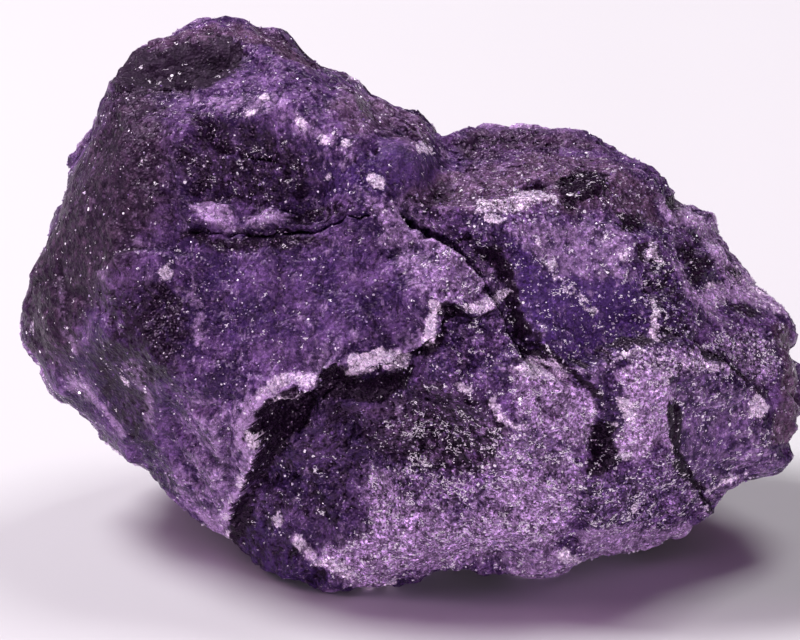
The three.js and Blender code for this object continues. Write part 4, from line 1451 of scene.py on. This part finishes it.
@dataclass(frozen=True)
class CrystalFinish:
    """Granular violet crystal: its colours, with painted glints and painted shade among them, the size of
    its grains and its gloss.

    Sizes are millimetres. An edge is the pair of values between which a mask climbs from 0 to 1, and a rag
    is the size and the amount of the noise that breaks a mask's edge.
    """

    deep: Colour = paint(46, 29, 66)
    middle: Colour = paint(101, 71, 121)
    blue: Colour = paint(60, 38, 90)
    lilac: Colour = paint(168, 136, 182)
    brown: Colour = paint(70, 48, 70)
    fibre: Colour = paint(140, 108, 138)
    # dark: the stone's dark ground, and the colour of painted shade in cracks, pits, hollows and under
    # ledges
    dark: Colour = paint(22, 10, 26)
    frost: Colour = paint(238, 216, 240)
    # painted glints: near white laid into the colour, standing in for grains that catch the lamps
    painted_glint: Colour = paint(252, 244, 254)
    sheen: Colour = paint(222, 182, 232)
    index: float = 1.69
    gloss: float = 0.2

    grain: float = 0.32
    fine_grain: float = 0.15
    smallest_grain: float = 0.09
    grain_power: float = 2.2
    grain_share: float = 0.6
    dust: float = 0.22
    clouds: float = 0.9
    cloud_edge: tuple = (-0.1, 0.62)
    liveliness: float = 0.5
    glitter_liveliness: float = 1.2
    calm_loss: float = 0.45

    tilt: float = 0.45
    calm_tilt_loss: float = 0.85
    bump: float = 0.4
    bump_strength: float = 0.6
    bump_metres: float = 0.00006

    least_rough: float = 0.08
    grain_rough: float = 0.3
    calm_rough: float = 0.4
    frost_rough: float = 0.25

    ground_rag: tuple = (1.1, 1.0)
    pale_rag: tuple = (0.45, 1.7)
    frost_rag: tuple = (0.3, 1.7)
    mottle_rag: tuple = (0.3, 0.5)
    mottle: float = 1.8
    mottle_edge: tuple = (0.4, 0.66)
    ground_edge: tuple = (0.15, 0.95)
    lilac_edge: tuple = (0.2, 1.1)
    dark_edge: tuple = (0.1, 0.8)
    frost_edge: tuple = (0.25, 0.7)
    frost_gap: float = 0.2
    frost_gap_edge: tuple = (0.3, 0.55)

    veil: float = 0.35
    veil_squeeze: tuple = (1, 1, 0.3)
    veil_edge: tuple = (0.56, 0.74)
    veil_share: float = 0.7
    fibre_size: float = 0.4
    fibre_squeeze: tuple = (0.12, 0.3, 1)
    fibre_edge: tuple = (0.45, 0.7)
    fibre_share: float = 0.55

    # painted shade in fine pits: thin dark wriggling lines that darken the colour
    pit: float = 0.45
    pit_squeeze: tuple = (1, 1, 0.7)
    pit_half: float = 0.03
    pit_shade_depth: float = 0.75
    pit_lift: float = 1.46

    # painted glints: bright dots and wriggling lines, gathered along arcs and where the ground glitters
    arc: float = 0.8
    arc_squeeze: tuple = (0.6, 0.7, 1.2)
    arc_edge: tuple = (0.42, 0.6)
    glint_speck: float = 0.2
    glint_speck_half: float = 0.5
    glint_speck_luck: float = 0.995
    glint_speck_gain: float = 0.06
    glint_size: float = 0.3
    glint_squeeze: tuple = (0.7, 0.8, 1.25)
    glint_half: float = 0.03
    glint_cluster: float = 0.42
    glint_gain: float = 0.24
    glint_edge: tuple = (0.65, 0.7)

    def ragged(self, graph: NodeGraph, rag: tuple) -> Socket:
        """Makes noise round zero to break a mask's edges with."""
        size, amount = rag
        return graph.times(graph.minus(graph.noise(size, 6.0), 0.5), amount)

    def mask(self, graph: NodeGraph, tone: Tone, ragged: Socket, edge: tuple) -> Socket:
        """Turns a tone's strength into a mask with ragged edges."""
        return graph.between(graph.plus(graph.attribute(tone.value), ragged), *edge)

    def tilted_normal(self, graph: NodeGraph, packings: tuple) -> Socket:
        """Gives each grain a small tilt of its own, so that some of them flash.

        Args:
            graph: the material.
            packings: the packings of larger and of smaller grains.

        Returns:
            The surface's direction, grain by grain.
        """
        total = graph.add("ShaderNodeNewGeometry").outputs["Normal"]
        tilted_share = graph.minus(1.0, graph.times(graph.attribute(CALM.value), self.calm_tilt_loss))
        for packing in packings:
            tilt = graph.vector("SUBTRACT", packing.outputs["Color"], (0.5, 0.5, 0.5))
            scaled = graph.vector("SCALE", tilt, graph.times(tilted_share, self.tilt))
            total = graph.vector("ADD", total, scaled)
        inputs = {
            "Strength": self.bump_strength,
            "Distance": self.bump_metres,
            "Height": graph.plus(graph.noise(self.bump, 6.0), packings[-1].outputs["Distance"]),
            "Normal": graph.vector("NORMALIZE", total),
        }
        return graph.add("ShaderNodeBump", inputs).outputs[0]

    def zones(self, graph: NodeGraph, frost: Socket) -> Socket:
        """Lays the zones of colour over each other, with ragged edges.

        Args:
            graph: the material.
            frost: the mask of the white crusts.

        Returns:
            The colour.
        """
        ragged = self.ragged(graph, self.ground_rag)
        finely_ragged = self.ragged(graph, self.pale_rag)
        mottle = graph.plus(graph.noise(self.mottle, 8.0), self.ragged(graph, self.mottle_rag))
        colour = graph.blend(graph.between(mottle, *self.mottle_edge), self.deep, self.middle)
        colour = graph.blend(self.mask(graph, BLUE, ragged, self.ground_edge), colour, self.blue)
        colour = graph.blend(self.mask(graph, BROWN, ragged, self.ground_edge), colour, self.brown)
        veil = graph.between(graph.noise(self.veil, 6.0, self.veil_squeeze), *self.veil_edge)
        colour = graph.blend(graph.times(veil, self.veil_share), colour, self.lilac)
        colour = graph.blend(self.mask(graph, LILAC, finely_ragged, self.lilac_edge), colour, self.lilac)
        fibre = graph.between(graph.noise(self.fibre_size, 6.0, self.fibre_squeeze), *self.fibre_edge)
        fibre = graph.times(fibre, graph.times(graph.attribute(BROWN.value), self.fibre_share))
        colour = graph.blend(fibre, colour, self.fibre)
        # dark ground and painted shade
        colour = graph.blend(self.mask(graph, DARK, finely_ragged, self.dark_edge), colour, self.dark)
        return graph.blend(frost, colour, self.frost)

    def wriggle(self, graph: NodeGraph, size: float, squeeze: tuple, half: float) -> Socket:
        """Draws thin wriggling lines, such as the edges of crystals make; they carry painted glints, and
        painted shade in fine pits.

        Args:
            graph: the material.
            size: of the wriggles in millimetres.
            squeeze: factors for the three directions.
            half: of the lines' width, as a share of the noise that they follow.

        Returns:
            1 on a line.
        """
        away = graph.maths("ABSOLUTE", graph.minus(graph.noise(size, 3.0, squeeze), 0.5))
        return graph.minus(1.0, graph.between(away, half * 0.5, half))

    def painted_glints(self, graph: NodeGraph) -> Socket:
        """Scatters painted glints, as bright dots and lines in clusters, more of them where the ground
        glitters.

        Args:
            graph: the material.

        Returns:
            1 on the painted glints.
        """
        arcs = graph.between(graph.noise(self.arc, 4.0, self.arc_squeeze), *self.arc_edge)
        eager = graph.times(graph.attribute(GLITTER.value), arcs)
        cells = graph.grains(self.glint_speck)
        chance, reach = graph.channels(cells.outputs["Color"])[:2]
        lucky = graph.plus(chance, graph.times(eager, self.glint_speck_gain))
        near = graph.maths("LESS_THAN", cells.outputs["Distance"], graph.times(reach, self.glint_speck_half))
        # specks: the dots of painted glints
        specks = graph.times(graph.maths("GREATER_THAN", lucky, self.glint_speck_luck), near)
        wriggle = self.wriggle(graph, self.glint_size, self.glint_squeeze, self.glint_half)
        ready = graph.plus(graph.noise(self.glint_cluster, 2.0), graph.times(eager, self.glint_gain))
        # edges: the wriggling lines of painted glints
        edges = graph.times(wriggle, graph.between(ready, *self.glint_edge))
        return graph.maths("MAXIMUM", specks, edges)

    def grain_level(self, graph: NodeGraph, chances: tuple) -> Socket:
        """Works out how light each grain is beside its zone's colour.

        Args:
            graph: the material.
            chances: one random value for each larger and each smaller grain.

        Returns:
            Factors round 1, with thin lines of painted shade in fine pits.
        """
        smallest = graph.channels(graph.grains(self.smallest_grain).outputs["Color"])[0]
        cells = graph.plus(graph.times(*chances), smallest)
        grainy = graph.times(graph.maths("POWER", cells, self.grain_power), self.grain_share)
        level = graph.plus(grainy, graph.noise(self.dust, 6.0))
        glitter = graph.times(graph.attribute(GLITTER.value), self.glitter_liveliness)
        calm = graph.times(graph.attribute(CALM.value), self.calm_loss)
        lively = graph.times(graph.plus(glitter, self.liveliness), graph.minus(1.0, calm))
        level = graph.plus(1.0, graph.times(graph.minus(level, 1.0), lively))
        level = graph.times(level, graph.between(graph.noise(self.clouds, 6.0), *self.cloud_edge))
        # painted shade in fine pits darkens the grains along thin lines
        pits = graph.times(self.wriggle(graph, self.pit, self.pit_squeeze, self.pit_half), self.pit_shade_depth)
        return graph.times(level, graph.minus(self.pit_lift, pits))

    def make(self) -> bpy.types.Material:
        """Makes the material.

        Returns:
            The material.
        """
        graph = NodeGraph("granular_crystal")
        packings = (graph.grains(self.grain), graph.grains(self.fine_grain))
        chances = [graph.channels(packing.outputs["Color"]) for packing in packings]
        frost = self.mask(graph, FROST, self.ragged(graph, self.frost_rag), self.frost_edge)
        frost = graph.times(frost, graph.between(graph.noise(self.frost_gap, 4.0), *self.frost_gap_edge))
        level = self.grain_level(graph, (chances[0][0], chances[1][0]))
        shade = graph.add("ShaderNodeCombineColor", {0: level, 1: level, 2: level}).outputs[0]
        colour = graph.blend(1.0, self.zones(graph, frost), shade, "MULTIPLY")
        # painted glints laid over the colour
        colour = graph.blend(self.painted_glints(graph), colour, self.painted_glint)

        rough = graph.plus(graph.times(chances[1][1], self.grain_rough), self.least_rough)
        rough = graph.plus(rough, graph.times(graph.attribute(CALM.value), self.calm_rough))
        rough = graph.plus(rough, graph.times(frost, self.frost_rough), clamp=True)
        shader = graph.shader
        graph.put(shader.inputs["Base Color"], colour)
        graph.put(shader.inputs["Roughness"], rough)
        graph.put(shader.inputs["Normal"], self.tilted_normal(graph, packings))
        shader.inputs["IOR"].default_value = self.index
        shader.inputs["Specular IOR Level"].default_value = self.gloss
        shader.inputs["Specular Tint"].default_value = self.sheen
        return graph.material


@dataclass(frozen=True)
class GrainFinish:
    """Loose-looking grains of the crusts: each has a shade of its own, from violet to white."""

    violet: Colour = paint(128, 96, 160)
    white: Colour = paint(236, 222, 240)
    mottle: float = 0.12
    mottle_share: float = 0.3
    least_rough: float = 0.2
    white_rough: float = 0.2
    index: float = 1.69
    coat: float = 0.5
    coat_rough: float = 0.1

    def make(self) -> bpy.types.Material:
        """Makes the material.

        Returns:
            The material.
        """
        graph = NodeGraph("pale_grains")
        mottled = graph.times(graph.noise(self.mottle, 2.0), self.mottle_share)
        mottled = graph.minus(mottled, self.mottle_share / 2)
        share = graph.plus(graph.attribute("shade"), mottled, clamp=True)
        shader = graph.shader
        graph.put(shader.inputs["Base Color"], graph.blend(share, self.violet, self.white))
        rough = graph.plus(graph.times(share, self.white_rough), self.least_rough)
        graph.put(shader.inputs["Roughness"], rough)
        shader.inputs["IOR"].default_value = self.index
        shader.inputs["Coat Weight"].default_value = self.coat
        shader.inputs["Coat Roughness"].default_value = self.coat_rough
        return graph.material


@dataclass(frozen=True)
class FloorFinish:
    """A plain pale matt floor."""

    colour: Colour = paint(214, 214, 214)
    patches: float = 60
    least_rough: float = 0.7
    patch_rough: float = 0.1

    def make(self) -> bpy.types.Material:
        """Makes the material.

        Returns:
            The material.
        """
        graph = NodeGraph("pale_floor")
        inputs = {"Vector": graph.place, "Scale": self.patches, "Detail": 2.0}
        patches = graph.add("ShaderNodeTexNoise", inputs).outputs[0]
        rough = graph.plus(graph.times(patches, self.patch_rough), self.least_rough)
        graph.put(graph.shader.inputs["Roughness"], rough)
        graph.shader.inputs["Base Color"].default_value = self.colour
        return graph.material


def mesh_object(name: str, places: Points, faces: Faces) -> bpy.types.Object:
    """Makes an object from points and faces.

    Args:
        name: the piece's name.
        places: points in metres, as rows.
        faces: faces by their points, as rows.

    Returns:
        The object, in the scene.
    """
    mesh = bpy.data.meshes.new(name)
    mesh.from_pydata(places.tolist(), [], faces.tolist())
    mesh.update()
    made = bpy.data.objects.new(name, mesh)
    bpy.context.scene.collection.objects.link(made)
    return made


def carry(piece: bpy.types.Object, name: str, values: Numbers) -> None:
    """Stores one value for each point of a piece's mesh.

    Args:
        piece: the piece.
        name: the value's name.
        values: one number for each point.
    """
    layer = piece.data.attributes.new(name, "FLOAT", "POINT")
    layer.data.foreach_set("value", values.astype(np.float32))


@dataclass
class StoneSkin:
    """The stone's outer surface, the whole way round.

    place, triangles and tones are the built surface in millimetres. middle is the middle of its box, and
    shift moves it there in plan.
    """

    form: StoneForm = field(default_factory=StoneForm)
    net: Net = field(default_factory=Net)
    bulge_reach: float = 0.035
    place: Points = field(init=False)
    triangles: Faces = field(init=False)
    tones: dict = field(init=False)
    middle: Points = field(init=False)
    shift: Points = field(init=False)

    def bulges(self) -> Numbers:
        """Measures how far each point stands out from its neighbours.

        Returns:
            From -1 in hollows to 1 on ridges.
        """
        starts = np.concatenate([self.triangles[:, 0], self.triangles[:, 1], self.triangles[:, 2]])
        ends = np.concatenate([self.triangles[:, 1], self.triangles[:, 2], self.triangles[:, 0]])
        total = np.zeros_like(self.place)
        count = np.zeros(len(self.place))
        np.add.at(total, starts, self.place[ends])
        np.add.at(count, starts, 1)
        away = self.place - total / count[:, None]
        out = self.place - [0, 0, self.form.core_height]
        out /= np.linalg.norm(out, axis=1, keepdims=True)
        return np.clip(np.sum(away * out, axis=1) / self.bulge_reach, -1, 1)

    def build(self) -> bpy.types.Object:
        """Builds and dresses the skin.

        Returns:
            The piece.
        """
        rays, self.triangles = self.net.build()
        surface = self.form.surface(rays)
        self.place = surface.place
        self.tones = ToneChart(self.form).strengths(surface, self.bulges())
        self.middle = (self.place.min(axis=0) + self.place.max(axis=0)) / 2
        self.shift = np.array([-self.middle[0], -self.middle[1], 0])
        piece = mesh_object("tanzanite_skin", (self.place + self.shift) * MILLIMETRE, self.triangles)
        for tone, values in self.tones.items():
            carry(piece, tone.value, values)
        piece.data.materials.append(CrystalFinish().make())
        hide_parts(NODE)
        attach(piece, "root")
        return piece


@dataclass
class CrustGrains:
    """Small angular crystals that stand in the crusts and flash on the dark ground."""

    skin: StoneSkin
    count: int = 23000
    least: float = 0.035
    most: float = 0.1
    anywhere: float = 0.012
    in_frost: float = 1.6
    in_glitter: float = 0.14
    in_lilac: float = 0.05
    kept_off_dark: float = 0.85
    clear_of_floor: float = 0.4
    lowest_point: float = 0.02
    size_power: float = 2.5
    shade_power: float = 1.4
    frost_shade: float = 0.5
    stretch: tuple[float, float] = (0.6, 1.25)
    sunk: tuple[float, float] = (-0.3, 0.35)
    seed: int = 7

    def spots(self, generator: np.random.Generator) -> tuple[Points, Points, Numbers]:
        """Picks the spots that grains stand on, most of them in the crusts.

        Args:
            generator: the seeded source of chance.

        Returns:
            The spots, the directions out of the stone there, and the frost there.
        """
        skin = self.skin
        a, b, c = (skin.place[skin.triangles[:, n]] for n in range(3))
        cross = np.cross(b - a, c - a)
        size = np.linalg.norm(cross, axis=1)
        frost, glitter, lilac, dark = (
            skin.tones[tone][skin.triangles].mean(axis=1) for tone in (FROST, GLITTER, LILAC, DARK)
        )
        wanted = self.anywhere + self.in_frost * frost**2 + self.in_glitter * glitter + self.in_lilac * lilac
        wanted = size * wanted * (1 - self.kept_off_dark * dark)
        wanted[c[:, 2] < self.clear_of_floor] = 0
        picked = generator.choice(len(size), self.count, p=wanted / wanted.sum())
        first = generator.random(self.count)
        second = generator.random(self.count)
        folded = first + second > 1
        first = np.where(folded, 1 - first, first)
        second = np.where(folded, 1 - second, second)
        spot = a[picked] + first[:, None] * (b - a)[picked] + second[:, None] * (c - a)[picked]
        return spot, (cross / size[:, None])[picked], frost[picked]

    def build(self) -> bpy.types.Object:
        """Builds and dresses the grains.

        Returns:
            The piece.
        """
        generator = np.random.default_rng(self.seed)
        spot, out, frost = self.spots(generator)
        tips = np.array([[1, 0, 0], [-1, 0, 0], [0, 1, 0], [0, -1, 0], [0, 0, 1], [0, 0, -1]], float)
        sides = np.array([
            [0, 2, 4], [2, 1, 4], [1, 3, 4], [3, 0, 4], [2, 0, 5], [1, 2, 5], [3, 1, 5], [0, 3, 5],
        ])
        size = self.least + (self.most - self.least) * generator.random(self.count) ** self.size_power
        turns = np.linalg.qr(generator.normal(size=(self.count, 3, 3)))[0]
        turns[np.linalg.det(turns) < 0] *= -1
        stretch = generator.uniform(*self.stretch, (self.count, 3))
        shapes = tips[None] * (size[:, None] * stretch)[:, None, :]
        shapes = np.einsum("nij,nkj->nki", turns, shapes)
        lift = size * generator.uniform(*self.sunk, self.count)
        middle = spot + out * lift[:, None] + self.skin.shift
        places = (shapes + middle[:, None]).reshape(-1, 3)
        places[:, 2] = np.maximum(places[:, 2], self.lowest_point)
        faces = (sides[None] + len(tips) * np.arange(self.count)[:, None, None]).reshape(-1, 3)
        piece = mesh_object("crust_grains", places * MILLIMETRE, faces)
        shade = generator.random(self.count) ** self.shade_power + self.frost_shade * frost
        carry(piece, "shade", np.repeat(np.clip(shade, 0, 1), len(tips)))
        piece.data.materials.append(GrainFinish().make())
        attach(piece, "root")
        return piece


@dataclass(frozen=True)
class Lamp:
    """A square lamp: its place round and above the stone in degrees, side in metres, watts and colour."""

    name: str
    azimuth: float
    elevation: float
    side: float
    power: float
    colour: Colour = (1, 1, 1)


LAMPS = (
    Lamp("right_key", 140, 66, 0.14, 0.7),
    Lamp("left_key", 250, 56, 0.12, 1.5),
    Lamp("left_fill", 270, 46, 0.2, 0.46, (1, 0.6, 1)),
    Lamp("right_fill", 98, 44, 0.2, 0.09, (1, 0.35, 1)),
    Lamp("front_fill", 5, 4, 0.04, 0.72, (1, 0.86, 1)),
)


@dataclass
class Studio:
    """A pale floor, soft lamps and the camera at the viewing angle."""

    skin: StoneSkin
    lens: float = 343
    distance: float = 0.382
    aim: tuple[float, float] = (-0.5, 10)
    nearest: float = 0.01
    sensor: float = 36
    lamp_distance: float = 0.4
    floor_size: float = 2.4
    sky_colour: Colour = (0.85, 0.45, 1, 1)
    sky_strength: float = 0.03

    def direction(self, azimuth: float, elevation: float) -> Vector:
        """Points from the stone at an angle round it and above the floor.

        Args:
            azimuth: round the stone in degrees, 0 in front of it and 90 to its right.
            elevation: above the floor in degrees.

        Returns:
            The direction.
        """
        round_angle = math.radians(azimuth)
        up_angle = math.radians(elevation)
        return Vector((
            math.sin(round_angle) * math.cos(up_angle),
            -math.cos(round_angle) * math.cos(up_angle),
            math.sin(up_angle),
        ))

    def hang(self, lamp: Lamp) -> None:
        """Hangs one lamp, turned to the stone.

        Args:
            lamp: the lamp.
        """
        data = bpy.data.lights.new(lamp.name, "AREA")
        data.size = lamp.side
        data.energy = lamp.power
        data.color = lamp.colour
        hung = bpy.data.objects.new(lamp.name, data)
        away = self.direction(lamp.azimuth, lamp.elevation)
        hung.location = away * self.lamp_distance
        hung.rotation_euler = away.to_track_quat("Z", "Y").to_euler()
        bpy.context.scene.collection.objects.link(hung)

    def floor(self) -> bpy.types.Object:
        """Lays the floor.

        Returns:
            The floor.
        """
        half = self.floor_size / 2
        corners = np.array([[-half, -half, 0], [half, -half, 0], [half, half, 0], [-half, half, 0]])
        laid = mesh_object("floor", corners, np.array([[0, 1, 2, 3]]))
        laid.data.materials.append(FloorFinish().make())
        return laid

    def sky(self) -> None:
        """Sets the soft light from all round."""
        world = bpy.data.worlds.new("soft_room")
        world.use_nodes = True
        background = world.node_tree.nodes["Background"]
        background.inputs["Color"].default_value = self.sky_colour
        background.inputs["Strength"].default_value = self.sky_strength
        bpy.context.scene.world = world

    def camera(self) -> None:
        """Stands the camera in front of the stone, looking down at the drawing plane's angle."""
        data = bpy.data.cameras.new("camera")
        data.sensor_width = self.sensor
        data.lens = self.lens
        data.clip_start = self.nearest
        stood = bpy.data.objects.new("camera", data)
        away = self.direction(0, math.degrees(LEAN))
        middle = self.skin.middle
        right = Vector((1, 0, 0))
        along = right * (self.aim[0] - middle[0]) * MILLIMETRE
        up = away.cross(right) * (self.aim[1] - middle[1] * math.sin(LEAN)) * MILLIMETRE
        stood.location = along + up + away * self.distance
        stood.rotation_euler = away.to_track_quat("Z", "Y").to_euler()
        bpy.context.scene.collection.objects.link(stood)
        bpy.context.scene.camera = stood

    def build(self) -> None:
        """Builds the studio."""
        self.floor()
        self.sky()
        self.camera()
        for lamp in LAMPS:
            self.hang(lamp)
        bpy.context.scene.view_settings.view_transform = "Standard"


def main() -> None:
    """Builds the stone, its grains and the studio."""
    logging.basicConfig(level=logging.INFO, format="%(name)s: %(message)s")
    skin = StoneSkin()
    piece = skin.build()
    LOG.info("%s: %d triangles", piece.name, len(piece.data.polygons))
    grains = CrustGrains(skin).build()
    LOG.info("%s: %d triangles", grains.name, len(grains.data.polygons))
    Studio(skin).build()
    LOG.info("studio ready")


if __name__ == "__main__":
    main()
